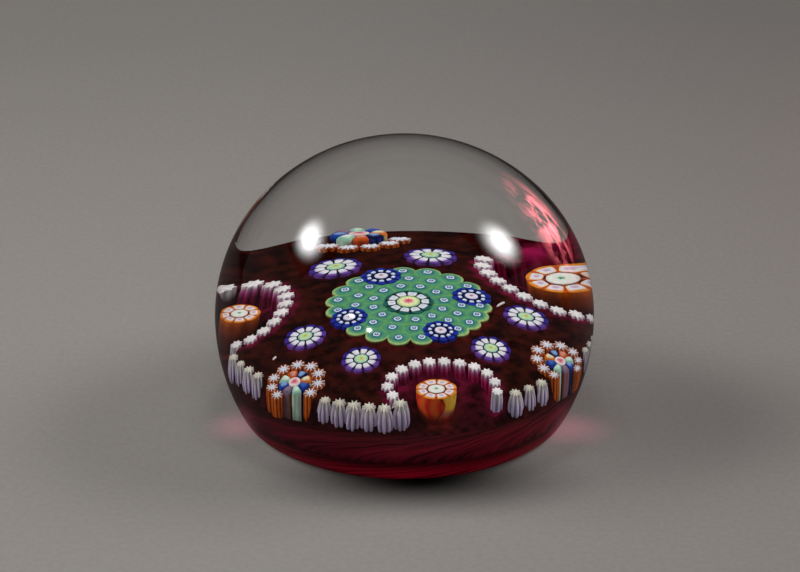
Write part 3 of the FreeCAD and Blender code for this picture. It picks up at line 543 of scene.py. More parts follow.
class PaintedGlow:
    """Painted glow: colour laid on the ground round the canes as if lit glass showed through the ruby, most
    of all on their front side.
    """

    # node, distance from a cane's middle where the glow starts, how far it reaches from there, colour
    KINDS = (
        ("loop_cane_stars", 0.8, 1.2, srgb(100, 12, 46)),
        ("purple_cane_hearts", 2.5, 1.0, srgb(66, 10, 32)),
        ("orange_cane_hearts", 2.9, 1.6, srgb(62, 14, 8)),
        ("blue_cane_hearts", 2.2, 1.4, srgb(64, 8, 10)),
        ("carpet_cane_eyes", 1.2, 2.0, srgb(60, 8, 8)),
    )

    def __init__(self):
        rows = [(cane, *settings) for node, *settings in self.KINDS for cane in canes(node)]
        self.colours = [row[-1] for row in rows]
        self.places = np.array([(cane.x, cane.y, start, width) for cane, start, width, _ in rows])

    def over(self, base, x, y):
        """Lay the strongest glow at a point over the ground's own colour."""
        dx, dy = x - self.places[:, 0], y - self.places[:, 1]
        away = np.hypot(dx, dy)
        fade = 1 - (away - self.places[:, 2]) / self.places[:, 3]
        # painted light: the glow is strongest on a cane's front side
        front = 0.2 + 0.8 * np.clip(0.5 - 0.8 * dy / np.maximum(away, 0.01), 0, 1)
        strength = np.clip(fade, 0, 1) ** 1.4 * front
        best = int(np.argmax(strength))
        return mix(base, self.colours[best], float(strength[best]))


def swirl(point, twist):
    """Return the place in the ruby's swirl: streaks wind round the foot as they go down."""
    angle = math.atan2(point[1], point[0]) + twist
    return SWIRL_REACH * math.cos(angle), SWIRL_REACH * math.sin(angle), point[2] * SWIRL_RISE


def side_light(x, y):
    """Return how brightly the ruby glows on one side."""
    return 0.86 + 0.4 * math.cos(math.atan2(y, x) - BRIGHT_SIDE)


def cushion_look(x, y, glow):
    """Return the height and the colour of the cushion's top at a point."""
    z, inside = ground_top(x, y)
    # Painted light on a loop's wall: a painted glow, magenta just below its top and lighter towards the
    # front, then painted shade that darkens it deeper down.
    brink_glow = mix(srgb(60, 6, 22), srgb(78, 9, 30), smooth(-4, -12, y))
    wall = ramp([(0.4, RUBY_DARK), (1.0, brink_glow), (2.4, mix(brink_glow, srgb(40, 6, 14), 0.5)),
                 (4.0, srgb(42, 6, 12)), (8, srgb(34, 5, 8))], level(x, y) - z)
    base = mix(RUBY_DARK, srgb(74, 8, 24), back_ridge(x, y) * smooth(6, 13, x))
    return max(z, CUSHION_LOW), glow.over(mix(base, wall, inside), x, y)


def cushion_top(shape, circle):
    """Add the rings of the cushion's top with its scooped loops."""
    glow = PaintedGlow()
    rings = []
    for k in range(1, TOP_RINGS + 1):
        reach = CUSHION_RIM * k / TOP_RINGS
        spots = [(PATTERN[0] + reach * c, PATTERN[1] + reach * s) for c, s in circle]
        looks = [cushion_look(x, y, glow) for x, y in spots]
        points = [(*spot, z) for spot, (z, tint) in zip(spots, looks)]
        flows = [scaled(point, CLOUDS) for point in points]
        rings.append(shape.ring(points, [tint for z, tint in looks], flows))
    return rings


def cushion_side(shape, circle, rim):
    """Add the rings of the cushion's side, from its rim down to the skirt."""
    above = [shape.points[index] for index in rim]
    tints = [shape.tints[index] for index in rim]
    rings = []
    for k in range(1, SIDE_RINGS + 1):
        share = k / SIDE_RINGS
        reach = CUSHION_RIM + (CUSHION_FOOT - CUSHION_RIM) * share ** 1.5
        points = [(PATTERN[0] + reach * c, PATTERN[1] + reach * s, z + (min(z, SKIRT_TOP) - z) * share)
                  for (c, s), (x, y, z) in zip(circle, above)]
        faded = [mix(tint, SKIRT_DARK, smooth(0, 0.7, share)) for tint in tints]
        rings.append(shape.ring(points, faded, [swirl(point, 0.0) for point in points]))
    return rings


def lit_ring(shape, points, colour, twist):
    """Add a ring of one colour, brighter on the side that side_light favours."""
    tints = [scaled(colour, side_light(x, y)) for x, y, z in points]
    return shape.ring(points, tints, [swirl(point, twist) for point in points])


def skirt_ridge(angle, out):
    """Return the height of the skirt's ridges: two sets of waves that wind down, flat at both edges."""
    waves = 0.13 * math.sin(31 * angle + 6 * out) + 0.1 * math.sin(17 * angle + 9 * out + 1)
    return waves * math.sin(math.pi * out)


def skirt(shape, circle, start, edge, foot):
    """Add the rings of the skirt, a quarter ellipse with shallow ridges that meets the wall at edge."""
    above = [shape.points[index] for index in start]
    rings = []
    for k in range(1, SKIRT_RINGS + 1):
        turn = math.pi / 2 * k / SKIRT_RINGS
        out, down = math.sin(turn), 1 - math.cos(turn)
        points = []
        for (c, s), (x, y, z) in zip(circle, above):
            ridge = skirt_ridge(math.atan2(y, x), out)
            points.append((x + (edge * c - x) * out, y + (edge * s - y) * out,
                           z + (foot - z) * down + ridge))
        # painted glow: the skirt lightens from its top outwards
        colour = mix(SKIRT_DARK, SKIRT_MID, smooth(0.1, 1, out))
        rings.append(lit_ring(shape, points, colour, 0.9 * out))
    return rings


def ground_wall(shape, circle, outline):
    """Add the rings of the wall, the foot and the hollow base."""
    rings = []
    for number, (reach, z) in enumerate(outline):
        share = number / WALL_POINTS
        points = [(reach * c, reach * s, z) for c, s in circle]
        # painted glow: the wall brightens towards the foot
        colour = mix(SKIRT_MID, SKIRT_BRIGHT, smooth(0.0, 0.8, share))
        rings.append(lit_ring(shape, points, colour, 0.9 + 1.2 * share))
    return rings


def ruby_ground():
    """Build the ground: cushion, scooped loops and skirt, closed by the foot."""
    shape = Shape()
    circle = around(GROUND_SEGMENTS)
    outline = foot_outline(SKIN, CLEAR, SKIRT_EDGE)
    rings = cushion_top(shape, circle)
    rings += cushion_side(shape, circle, rings[-1])
    rings += skirt(shape, circle, rings[-1], *outline[WALL_START - 1])
    rings += ground_wall(shape, circle, outline[WALL_START:])
    shape.skin(rings, ((*PATTERN, level(*PATTERN) - SUNK), RUBY_DARK),
               ((0, 0, HOLLOW_DEPTH + CLEAR), SKIRT_BRIGHT))
    glass_piece("ruby_cushion", shape, "ruby_ground", scale=1.8, spread=0.6, smooth_angle=70, rough=0.4,
                sheen=0.0, sharp=0.13, peak=2.2)


# -------- small star canes

STAR_DEPTHS = [0, 0.12, 0.35, 0.7, 1.2, 1.8, 2.5, 3.2, 3.9, 4.5, 4.9, CANE_LENGTH]
TASSEL_DEPTHS = [0, 0.15, 0.5, 1.0, 1.7, 2.5, 3.3, 4.1, 4.7, CANE_LENGTH]
TOP_FACE = 0.05    # side colours start below this depth
STAR_POINTS = 9    # points of the stars round a cluster, and ribs of the tassels under them


def in_far_arm(cane):
    """Tell whether a star cane stands in the far arm of the right loop."""
    return cane.x > 5 and cane.y > 18


def rib_phase(angle, points, turn):
    """Return 1 on the ribs of a cane and 0 in the grooves between them."""
    return abs(math.cos(points * (angle - turn) / 2))


def ribbed(tip, waist, groove, points, turn):
    """Return an outline that is a sharp star on top and a rod with grooves lower down."""
    def radius(angle, depth):
        phase = points * (angle - turn) / 2
        spike = 1 - abs(math.sin(phase)) ** 0.9
        rib = abs(math.cos(phase)) ** 0.8
        soft = smooth(0.1, 1.0, depth)
        low = waist + (tip * groove - waist) * soft
        return low + (tip - low) * (spike + (rib - spike) * soft)
    return radius


def star_cane(shape, cane, side_colour, reach, taper, tip_share, points, droop):
    """Add one star cane; chance gives its turn, lean, tone and size.

    droop narrows and domes its top and drops it at the back, as if it hung over the edge.  The far arm of
    the right loop is sunk in the ruby and takes its colour.
    """
    turn = random.random() * math.pi
    lean = ((random.random() - 0.5) * 0.9, (random.random() - 0.5) * 0.5)
    tone = 0.9 + 0.14 * random.random()
    size = 1 + droop * 0.34 * (random.random() - 0.6)
    star = ribbed(reach * size, reach * (0.66 - 0.2 * droop), 0.84 - 0.14 * droop, points, turn)
    veiled = in_far_arm(cane)
    lift = 0.05 - droop * smooth(-4, 16, cane.y) - (0.75 if veiled else 0)

    def outline(angle, depth):
        foot = 1 - (1 - tip_share) * smooth(CANE_LENGTH - taper, CANE_LENGTH, depth)
        top = 1 - 0.3 * droop * (1 - smooth(0, 2.2, depth))
        return star(angle, depth) * foot * top

    def colour(angle, share, depth):
        rib = rib_phase(angle, points, turn)
        if veiled:
            return mix(srgb(84, 8, 34), srgb(110, 14, 48), rib)
        if depth < TOP_FACE:
            hollow = smooth(0.2, 0.9, share) * (1 - rib)
            return scaled(mix(mix(IVORY, CREAM, droop), LAVENDER, 0.3 * hollow), tone)
        return scaled(side_colour(rib, depth, cane), tone)

    column(shape, cane, points * 8, (1.0, 0.8, 0.5, 0.25), STAR_DEPTHS, outline, colour, lift=lift,
           crown=0.12 + 0.15 * droop, lean=lean)


def star_canes(name, stars, nodes, side_colour, reach, taper, tip_share, points=8, droop=0.0):
    """Build a set of small star canes as ribbed rods with star tops."""
    shape = Shape()
    for cane in canes(stars):
        star_cane(shape, cane, side_colour, reach, taper, tip_share, points, droop)
    glass_piece(name, shape, *nodes, scale=2.2, spread=0.2, stretch=(1, 1, 0.25))


def edge_side(rib, depth, cane):
    """Colour the side of an edge cane: pale in front, ruby towards the back."""
    pale = mix(srgb(104, 84, 132), srgb(212, 198, 224), rib)
    low = mix(srgb(96, 72, 120), srgb(196, 176, 212), rib)
    side = ramp([(0.3, mix(pale, srgb(206, 202, 186), 0.6)), (1.6, pale), (5, low)], depth)
    return mix(side, srgb(44, 6, 16), smooth(1, 7, cane.y) * smooth(0.2, 1.4, depth))


def loop_side(rib, depth, cane):
    """Colour the side of a loop cane: white, then ruby; canes near the edge look like edge canes."""
    white = mix(LAVENDER, IVORY, rib)
    blush = mix(srgb(124, 30, 92), srgb(186, 84, 146), rib)
    dull = mix(srgb(60, 6, 28), srgb(104, 10, 48), rib)
    vivid = mix(srgb(90, 6, 40), srgb(184, 22, 88), rib)
    deep = mix(dull, vivid, smooth(0.0, 14.0, cane.x + 4) if cane.y < 0 else 0.2)
    sunk = ramp([(0.1, white), (0.4, blush), (1.1, deep), (3.8, srgb(46, 5, 18))], depth)
    return mix(sunk, edge_side(rib, depth, cane), smooth(21, 22, cane.reach))


def tassel(shape, cane, turn):
    """Add the orange tassel under one of the star canes round a cluster."""
    lean = ((random.random() - 0.5) * 0.4, (random.random() - 0.5) * 0.4)

    def outline(angle, depth):
        rib = rib_phase(angle, STAR_POINTS, turn)
        return (0.96 + 0.08 * rib) * (1 - 0.5 * smooth(3.8, CANE_LENGTH, depth))

    def colour(angle, share, depth):
        if depth < TOP_FACE:
            return mix(srgb(58, 20, 8), ORANGE, 0.15 + 0.5 * smooth(0.6, 1.0, share))
        bright = ramp([(0.4, ORANGE), (3, srgb(206, 92, 16)), (5, srgb(150, 58, 12))], depth)
        return mix(RUST, bright, smooth(0.35, 0.75, rib_phase(angle, STAR_POINTS, turn)))

    column(shape, cane, STAR_POINTS * 8, (1.0, 0.8, 0.5), TASSEL_DEPTHS, outline, colour, lean=lean)


def white_star(shape, cane, turn):
    """Add the thin white star on top of a tassel."""
    def outline(angle, depth):
        return 0.38 + 0.76 * (1 - abs(math.sin(STAR_POINTS * (angle - turn) / 2)) ** 0.8)

    def colour(angle, share, depth):
        return WHITE if share > 0.3 else mix(WHITE, SKY, 0.25)

    column(shape, cane, STAR_POINTS * 10, (1.0, 0.6, 0.3), [0, 0.06, 0.3], outline, colour, lift=0.09,
           crown=0.1)


def cluster_star_canes():
    """Build the star canes round each cluster: orange tassels, and thin white stars on top of them."""
    tassels, stars = Shape(), Shape()
    for cane in canes("cluster_cane_stars"):
        turn = random.random() * math.pi
        tassel(tassels, cane, turn)
        white_star(stars, cane, turn)
    glass_piece("cluster_cane_tassels", tassels, "cluster_cane_casings", scale=2.4, spread=0.3,
                stretch=(1, 1, 0.2))
    glass_piece("cluster_cane_tops", stars, "cluster_cane_stars")


# -------- flower canes

CASING_SHARES = [1 - 0.035 * k for k in range(20)]
HEART_SHARES = [1.0, 0.9, 0.8, 0.7, 0.6, 0.5, 0.42, 0.34, 0.26, 0.18, 0.1]
ORANGE_REACH, LEFT_ORANGE_REACH = 3.05, 2.35
ORANGE_TILT = 0.45   # the orange canes' tops follow the setup surface only half way


def ringed(stops):
    """Return a colour that changes from the middle of a cane outwards."""
    return lambda angle, share, depth: ramp(stops, share)


def rounded(reach, lobes=0, depth=0.0, turn=0.0):
    """Return an outline that is round, or has shallow lobes."""
    def radius(angle, sunk):
        return reach * (1 + depth * math.cos(lobes * (angle - turn))) if lobes else reach
    return radius


def flower_casing(shape, cane, turn, reach, outer, colours, length, count=10, lobe=0.03, lift=0.0):
    """Add a casing whose top is dark between the petals, which end at outer, and coloured outside them; it is
    painted lighter on its front side and darker at its back, as painted light.
    """
    dark, back, edge, front = colours

    def colour(angle, share, depth):
        gap = abs(math.sin(count * (angle - turn) / 2))
        # painted light: back and front are shaded and lit tones of one glass, blended by how far the side
        # faces the front
        body = mix(back, front, smooth(-0.4, 0.8, -math.sin(cane.bearing + angle)))
        if depth > 0.02:
            return mix(mix(body, dark, 0.75 * smooth(0.86, 0.98, gap)), dark, smooth(0.3, 2.0, depth))
        distance = share * reach
        lobe_colour = mix(body, mix(edge, body, 0.5), smooth(outer, reach, distance))
        ring = mix(dark, lobe_colour, smooth(outer - 0.5, outer - 0.05, distance))
        return mix(ring, dark, smooth(0.84, 0.97, gap) * (1 - 0.5 * smooth(reach - 0.1, reach, distance)))

    column(shape, cane, count * 16, CASING_SHARES, [0, 0.05, 0.3, 0.8, 1.6, length],
           rounded(reach, count, lobe, turn), colour, lift=lift)


def heart_column(shape, cane, reach, stops, lift, points=0, turn=0.0, tilt=1.0):
    """Add a round heart with rings of colour; points draws a small star at its middle."""
    def colour(angle, share, depth):
        spike = 0.35 * math.cos(points * (angle - turn)) if points else 0
        return ramp(stops, share * (1 + spike * (1 - share)))

    column(shape, cane, 60, HEART_SHARES, [0, 0.06, 2.0], rounded(reach), colour, lift=lift, crown=0.06,
           tilt=tilt)


def petal_ring(shape, cane, turn, near, far, fill, colour, lift, count=10, square=4.5, tilt=1.0):
    """Add a ring of petals; fill is the part of the ring's length that they take up."""
    width = 2 * math.tan(math.pi / count) * fill * (near + far) / 2
    for k in range(count):
        angle = turn + 2 * math.pi * k / count
        petal(shape, cane, near, far, width, angle, colour, lift, [1.5], square, tilt=tilt)


def purple_petal(along, across, share, sunk):
    base = mix(WHITE, srgb(196, 178, 224), smooth(0.45, 1.0, along))
    return mix(base, srgb(120, 84, 180), smooth(0.0, 0.6, sunk))


def blue_petal(along, across, share, sunk):
    return mix(WHITE, srgb(170, 200, 240), smooth(0.5, 1.0, share))


def orange_petal(along, across, share, sunk):
    core = mix(srgb(204, 172, 196), WHITE, smooth(0.25, 0.6, share))
    return mix(core, srgb(238, 176, 112), smooth(0.82, 1.0, share))


def middle_petal(along, across, share, sunk):
    return mix(ICE, WHITE, smooth(0.2, 0.8, share))


def flower_canes(kind, casing, petals, heart, casing_glass, heart_spread):
    """Build the canes of one kind; casing, petals and heart hold the settings of the functions above."""
    hearts, rings, casings = Shape(), Shape(), Shape()
    for cane in canes(kind + "_cane_hearts"):
        turn = random.random()
        flower_casing(casings, cane, turn, **casing)
        petal_ring(rings, cane, turn, **petals)
        heart_column(hearts, cane, turn=turn, **heart)
    glass_piece(kind + "_casings", casings, kind + "_cane_casings", **casing_glass)
    glass_piece(kind + "_petals", rings, kind + "_cane_petals")
    glass_piece(kind + "_hearts", hearts, kind + "_cane_hearts", spread=heart_spread)


def purple_canes():
    """Build the purple canes, with long white petals round a pale green heart."""
    # casing colours: dark, back in painted shade, lobe edge, front in painted light
    colours = (srgb(14, 12, 36), srgb(44, 34, 128), srgb(60, 44, 150), srgb(120, 76, 160))
    stops = [(0.0, srgb(120, 140, 60)), (0.16, srgb(196, 206, 110)), (0.45, srgb(206, 224, 160)),
             (0.75, srgb(186, 222, 190)), (1.0, srgb(150, 200, 176))]
    flower_canes("purple",
                 casing=dict(reach=2.7, outer=2.28, colours=colours, length=2.2),
                 petals=dict(near=1.14, far=2.2, fill=0.76, colour=purple_petal, lift=0.06),
                 heart=dict(reach=0.95, stops=stops, lift=0.07, points=6),
                 casing_glass=dict(scale=1.8, spread=0.3), heart_spread=0.2)


def blue_canes():
    """Build the blue canes in the carpet, with small round petals."""
    # casing colours: dark, back in painted shade, lobe edge, front in painted light
    colours = (srgb(6, 10, 60), srgb(22, 36, 140), srgb(40, 66, 176), srgb(30, 40, 150))
    stops = [(0.0, srgb(60, 40, 60)), (0.12, srgb(150, 60, 90)), (0.3, srgb(222, 206, 220)),
             (0.75, srgb(232, 226, 236)), (1.0, srgb(190, 196, 224))]
    flower_canes("blue",
                 casing=dict(reach=2.3, outer=1.72, colours=colours, length=2.2, lobe=0.035, lift=0.12),
                 petals=dict(near=1.2, far=1.68, fill=0.62, colour=blue_petal, lift=0.17, square=3.2),
                 heart=dict(reach=0.78, stops=stops, lift=0.19, points=5),
                 casing_glass=dict(scale=1.6, spread=0.35), heart_spread=0.15)


def orange_side(angle, depth, veiled):
    """Colour the side of an orange cane: streaks of orange, red, mauve and yellow, darker below.

    The side that faces the pattern's centre sinks into the dark ruby soonest; a veiled cane stands deeper
    in the ruby, which hides its streaks.
    """
    if veiled:
        stops = [(0.05, ORANGE), (0.7, srgb(150, 62, 26)), (2.2, srgb(92, 28, 16)), (4.4, srgb(48, 9, 8))]
        return scaled(ramp(stops, depth), 0.85 + 0.15 * math.sin(9 * angle))
    streak = math.sin(9 * angle + 1.3 * math.sin(depth)) * 0.5 + 0.5
    turn = math.atan2(math.sin(angle), math.cos(angle))
    crack = 0.05 + 0.2 * math.sin(1.1 * depth)
    right = smooth(crack, crack + 0.2, turn)
    base = mix(srgb(232, 100, 40), srgb(208, 44, 24), streak)
    base = mix(base, srgb(214, 166, 56), right * (1 - smooth(1.5, 2.8, depth - turn)))
    base = mix(base, srgb(170, 100, 84), right * smooth(1.6, 2.4, depth - turn) * (1 - smooth(3, 4, depth)))
    base = mix(srgb(74, 14, 8), base, smooth(0.015, 0.06, abs(turn - crack)))
    inward = 0.5 - 0.5 * math.cos(angle)
    start = 2.6 - 2.5 * inward
    return mix(base, mix(srgb(96, 18, 12), srgb(48, 8, 6), inward), smooth(start, start + 1.7, depth))


def orange_casing(shape, cane, reach, turn):
    """Add the casing of an orange cane, which narrows towards its foot."""
    body = rounded(reach, 8, 0.012, turn)

    def outline(angle, depth):
        return body(angle, depth) * (1 - 0.14 * smooth(0.8, 4.5, depth))

    def colour(angle, share, depth):
        if depth > 0.03:
            return orange_side(angle, depth, veiled=cane.y > 0)
        gap = abs(math.sin(4 * (angle - turn)))
        ring = mix(srgb(84, 20, 10), srgb(230, 136, 44), smooth(1.5, 2.2, share * ORANGE_REACH))
        return mix(ring, mix(ORANGE, srgb(160, 50, 12), 0.5), smooth(0.9, 0.99, gap))

    depths = [0, 0.08] + [0.35 * k for k in range(1, 16)]
    column(shape, cane, 128, CASING_SHARES, depths, outline, colour, tilt=ORANGE_TILT)


def orange_canes():
    """Build the orange canes in the middle of the loops; the left one is drawn smaller."""
    hearts, petals, casings = Shape(), Shape(), Shape()
    stops = [(0.0, srgb(60, 150, 120)), (0.14, srgb(70, 140, 110)), (0.26, srgb(226, 236, 220)),
             (0.8, srgb(240, 236, 230)), (1.0, srgb(214, 206, 196))]
    for cane in canes("orange_cane_hearts"):
        turn = random.random()
        reach = LEFT_ORANGE_REACH if cane.x < -10 else ORANGE_REACH
        size = reach / ORANGE_REACH
        orange_casing(casings, cane, reach, turn)
        petal_ring(petals, cane, turn, 1.5 * size, 2.7 * size, 0.84, orange_petal, 0.05, 8, tilt=ORANGE_TILT)
        heart_column(hearts, cane, 1.26 * size, stops, 0.07, 5, turn, tilt=ORANGE_TILT)
    glass_piece("orange_casings", casings, "orange_cane_casings", scale=1.4, spread=0.3, stretch=(1, 1, 0.3))
    glass_piece("orange_petals", petals, "orange_cane_petals")
    glass_piece("orange_hearts", hearts, "orange_cane_hearts", spread=0.15)


def pink_star(shape, cane):
    """Add the pink star on top of the middle cane."""
    colour = ringed([(0.0, srgb(214, 40, 70)), (0.5, srgb(224, 90, 120)), (1.0, srgb(236, 150, 160))])

    def outline(angle, depth):
        return 0.4 + 0.3 * (1 - abs(math.sin(4 * angle)) ** 0.9)

    column(shape, cane, 64, (1.0, 0.7, 0.4, 0.2), [0, 0.05, 1.0], outline, colour, lift=0.29, crown=0.04)


def middle_cane():
    """Build the cane in the middle of the pattern."""
    cane = Cane((np.array([*PATTERN, 0.0]), np.array([*PATTERN, 0.0])))
    casing, petals, disc, star = Shape(), Shape(), Shape(), Shape()
    # casing colours: dark, back in painted shade, lobe edge, front in painted light
    colours = (srgb(6, 40, 48), srgb(14, 76, 84), srgb(60, 130, 100), srgb(14, 84, 84))
    stops = [(0.45, srgb(240, 236, 190)), (0.7, srgb(238, 236, 176)), (0.88, srgb(190, 216, 150)),
             (1.0, srgb(150, 196, 140))]
    flower_casing(casing, cane, 0.1, 3.05, 2.6, colours, 2.4, lift=0.13)
    petal_ring(petals, cane, 0.1, 1.62, 2.56, 0.8, middle_petal, 0.18, square=5)
    heart_column(disc, cane, 1.45, stops, 0.19)
    pink_star(star, cane)
    glass_piece("middle_casing", casing, "middle_cane_casing", scale=1.6, spread=0.3)
    glass_piece("middle_petals", petals, "middle_cane_petals")
    glass_piece("middle_disc", disc, "middle_cane_disc", spread=0.15)
    glass_piece("middle_star", star, "middle_cane_star", spread=0.2)


# -------- green carpet

GRASS, LIME, SEA = srgb(80, 148, 114), srgb(108, 168, 84), srgb(36, 100, 120)
CARPET_REACH = 9.0           # the carpet reaches at least this far from its middle
SCALLOP = 1.5                # radius of the scallop that each eye adds to the carpet's edge
CARPET_SEGMENTS, CARPET_RINGS = 480, 84
# depth and colour of the rings under the carpet's edge
CARPET_SIDE = ((0.12, srgb(120, 120, 60)), (0.3, srgb(96, 40, 26)), (2.0, srgb(60, 12, 12)))


def carpet_edge(spots, direction):
    """Return how far the carpet reaches from the pattern's centre in one direction."""
    offsets = spots - PATTERN
    along = offsets @ np.array(direction)
    sideways = np.abs(offsets @ np.array([-direction[1], direction[0]]))
    hit = sideways < SCALLOP
    return max(CARPET_REACH, float((along[hit] + np.sqrt(SCALLOP ** 2 - sideways[hit] ** 2)).max()))


def carpet_look(spots, x, y, share):
    """Return the colour of the carpet at a point and how far it bulges there."""
    nearest, second = np.sort(np.hypot(spots[:, 0] - x, spots[:, 1] - y))[:2]
    tint = mix(LIME, GRASS, smooth(0.0, 0.35, second - nearest))
    tint = mix(SEA, tint, smooth(0.5, 0.95, nearest))
    tint = mix(tint, srgb(164, 196, 124), smooth(0.94, 0.99, share))
    return tint, 0.1 * max(0.0, 1 - (nearest / 1.4) ** 2)


def carpet():
    """Build the green carpet with its scalloped edge, and the small eyes set in it."""
    eyes = canes("carpet_cane_eyes")
    spots = np.array([(eye.x, eye.y) for eye in eyes])
    circle = around(CARPET_SEGMENTS)
    edge = [carpet_edge(spots, direction) for direction in circle]
    shape = Shape()
    rings = []
    for number in range(1, CARPET_RINGS + 1):
        share = number / CARPET_RINGS
        points, tints = [], []
        for (c, s), reach in zip(circle, edge):
            x, y = PATTERN[0] + reach * share * c, PATTERN[1] + reach * share * s
            tint, bulge = carpet_look(spots, x, y, share)
            points.append((x, y, level(x, y) + bulge - (0.05 if share == 1 else 0)))
            tints.append(tint)
        rings.append(shape.ring(points, tints))
    for depth, tint in CARPET_SIDE:
        below = [(x, y, level(x, y) - depth) for x, y, z in points]
        rings.append(shape.ring(below, [tint] * len(below)))
    foot = (*PATTERN, level(*PATTERN) - CARPET_SIDE[-1][0])
    shape.skin(rings, ((*PATTERN, level(*PATTERN)), GRASS), (foot, RUBY_DARK))
    glass_piece("carpet", shape, "carpet_cane_bodies", scale=1.5, spread=0.25)
    carpet_eyes(eyes)


def carpet_eyes(eyes):
    """Build the pale ring and the dot of each eye."""
    rings, dots = Shape(), Shape()
    ring_colour = ringed([(0.3, NAVY), (0.54, srgb(34, 66, 130)), (0.64, srgb(206, 226, 240)),
                          (0.86, WHITE), (1.0, srgb(150, 200, 214))])
    dot_colour = ringed([(0.0, srgb(214, 232, 246)), (1.0, srgb(110, 150, 210))])
    for eye in eyes:
        square = rounded(0.49, 4, 0.06, random.random() * math.pi)
        column(rings, eye, 40, (1.0, 0.86, 0.7, 0.62, 0.52, 0.4, 0.3), [0, 0.05, 0.6], square,
               ring_colour, lift=0.13, crown=0.03)
        column(dots, eye, 24, (1.0, 0.5), [0, 0.03, 0.3], rounded(0.17), dot_colour, lift=0.18)
    glass_piece("carpet_rings", rings, "carpet_cane_rings", spread=0.1)
    glass_piece("carpet_dots", dots, "carpet_cane_eyes", spread=0.1)


# -------- clusters

SEGMENTS = [
    # middle, edge and stripe colours of the eight segments, in order round the cane
    (SKY, NAVY, srgb(40, 66, 150)),
    (srgb(222, 150, 130), srgb(206, 84, 30), srgb(150, 60, 30)),
    (srgb(232, 238, 226), MINT, srgb(220, 230, 214)),
    (SKY, MID_BLUE, srgb(24, 50, 130)),
    (srgb(150, 120, 140), srgb(122, 100, 128), srgb(150, 84, 34)),
    (srgb(208, 232, 214), MINT, srgb(226, 236, 224)),
    (srgb(60, 100, 190), srgb(22, 50, 138), srgb(14, 30, 96)),
    (srgb(236, 226, 190), srgb(216, 120, 40), srgb(224, 214, 150)),
]
LEFT_ORDER, RIGHT_ORDER, BACK_ORDER = (42, 1), (140, -1), (-45, -1)
SEGMENT_DEPTHS = [0.25, 0.6, 1.1, 1.7, 2.4, 3.1, 3.8, 4.5, 5.1]
BACK_RISE = 0.55   # how far the middle of the back cluster stands above the others


def cluster_order(cane):
    """Return where the first segment points, in degrees, and which way the others follow it."""
    if cane.y > PATTERN[1]:
        return BACK_ORDER
    return LEFT_ORDER if cane.x < PATTERN[0] else RIGHT_ORDER


def cluster_segment(shape, cane, angle, colours, rise):
    """Add one segment: a rounded block with a domed top and a long ribbed side that hangs down."""
    core, body, stripe = colours

    def colour(along, across, share, sunk):
        if sunk <= 0.2:
            return mix(core, body, smooth(0.45, 0.75, share))
        side = mix(body, stripe, smooth(0.45, 0.75, 0.5 + 0.5 * math.cos(across * 7)))
        return mix(side, RUBY_DARK, 0.5 * smooth(3.5, CANE_LENGTH, sunk))

    petal(shape, cane, 0.88, 2.6, 1.32, angle, colour, rise, SEGMENT_DEPTHS, square=3.4, segments=32,
          crown=0.3, wedge=0.75, rim=0.12, shares=(0.85, 0.7, 0.55, 0.35, 0.15))


def clusters():
    """Build the middle of each cluster: a pink heart and eight segments whose sides hang down."""
    hearts, casings, segments = Shape(), Shape(), Shape()
    stops = [(0.0, srgb(196, 60, 96)), (0.35, srgb(226, 120, 140)), (0.7, srgb(238, 206, 208)),
             (1.0, srgb(240, 226, 222))]

    def casing_colour(angle, share, depth):
        return mix(srgb(10, 16, 44), srgb(40, 20, 20), depth / 5)

    for cane in CLUSTERS:
        start, way = cluster_order(cane)
        rise = BACK_RISE if cane.y > 0 else 0.0
        column(casings, cane, 64, (1.0, 0.7, 0.4), [0, 0.1, CANE_LENGTH], rounded(2.3), casing_colour,
               lift=-0.12)
        for k, colours in enumerate(SEGMENTS):
            angle = math.radians(start + 45 * way * k) - cane.bearing
            cluster_segment(segments, cane, angle, colours, rise)
        heart_column(hearts, cane, 0.92, stops, 0.12 + rise, 3, 0.4)
    glass_piece("cluster_dark_glass", casings, "cluster_casings", scale=1.6, spread=0.3)
    glass_piece("cluster_segments", segments, "cluster_blue_segments", "cluster_navy_segments",
                "cluster_mint_segments", "cluster_striped_segments", scale=2.0, spread=0.25,
                stretch=(1, 1, 0.25))
    glass_piece("cluster_hearts_tops", hearts, "cluster_hearts", spread=0.15)


def slivers():
    """Build the loose slivers of white cane as small bent rods."""
    shape = Shape()
    for low, high in solids("stray_slivers"):
        middle = (low + high) / 2
        half = (high - low)[:2] / 2
        reach = math.hypot(*half) * 0.72
        turn = math.atan2(half[1], half[0])
        rings, middles = [], []
        for k in range(9):
            along = k / 4 - 1
            thick = 0.14 * math.sqrt(max(0.02, 1 - along ** 4))
            x = middle[0] + math.cos(turn) * reach * along
            y = middle[1] + math.sin(turn) * reach * along + 0.12 * (1 - along ** 2)
            points = [(x - math.sin(turn) * thick * c, y + math.cos(turn) * thick * c, middle[2] + thick * s)
                      for c, s in around(14)]
            tint = mix(srgb(240, 214, 206), WHITE, 0.5 + 0.5 * math.sin(3 * along))
            rings.append(shape.ring(points, [tint] * len(points)))
            middles.append((x, y, middle[2]))
        shape.skin(rings, (middles[0], WHITE), (middles[-1], WHITE))
    glass_piece("slivers", shape, "stray_slivers", spread=0.15)


# -------- studio, in metres and degrees

# painted reflection: the paper is drawn darker where the crystal mirrors it
MIRRORED_FLOOR = 0.2   # share of its tone that the paper shows where the crystal mirrors it
# name, bearing, height, distance, width, tallness and power of each softbox
SOFTBOXES = (
    ("left_softbox", -83, 42, 1.2, 0.62, 0.36, 8.8),
    ("right_softbox", 76, 42, 1.2, 0.62, 0.36, 9.2),
    ("front_fill", 178, 34, 1.3, 0.9, 0.5, 4.5),
)
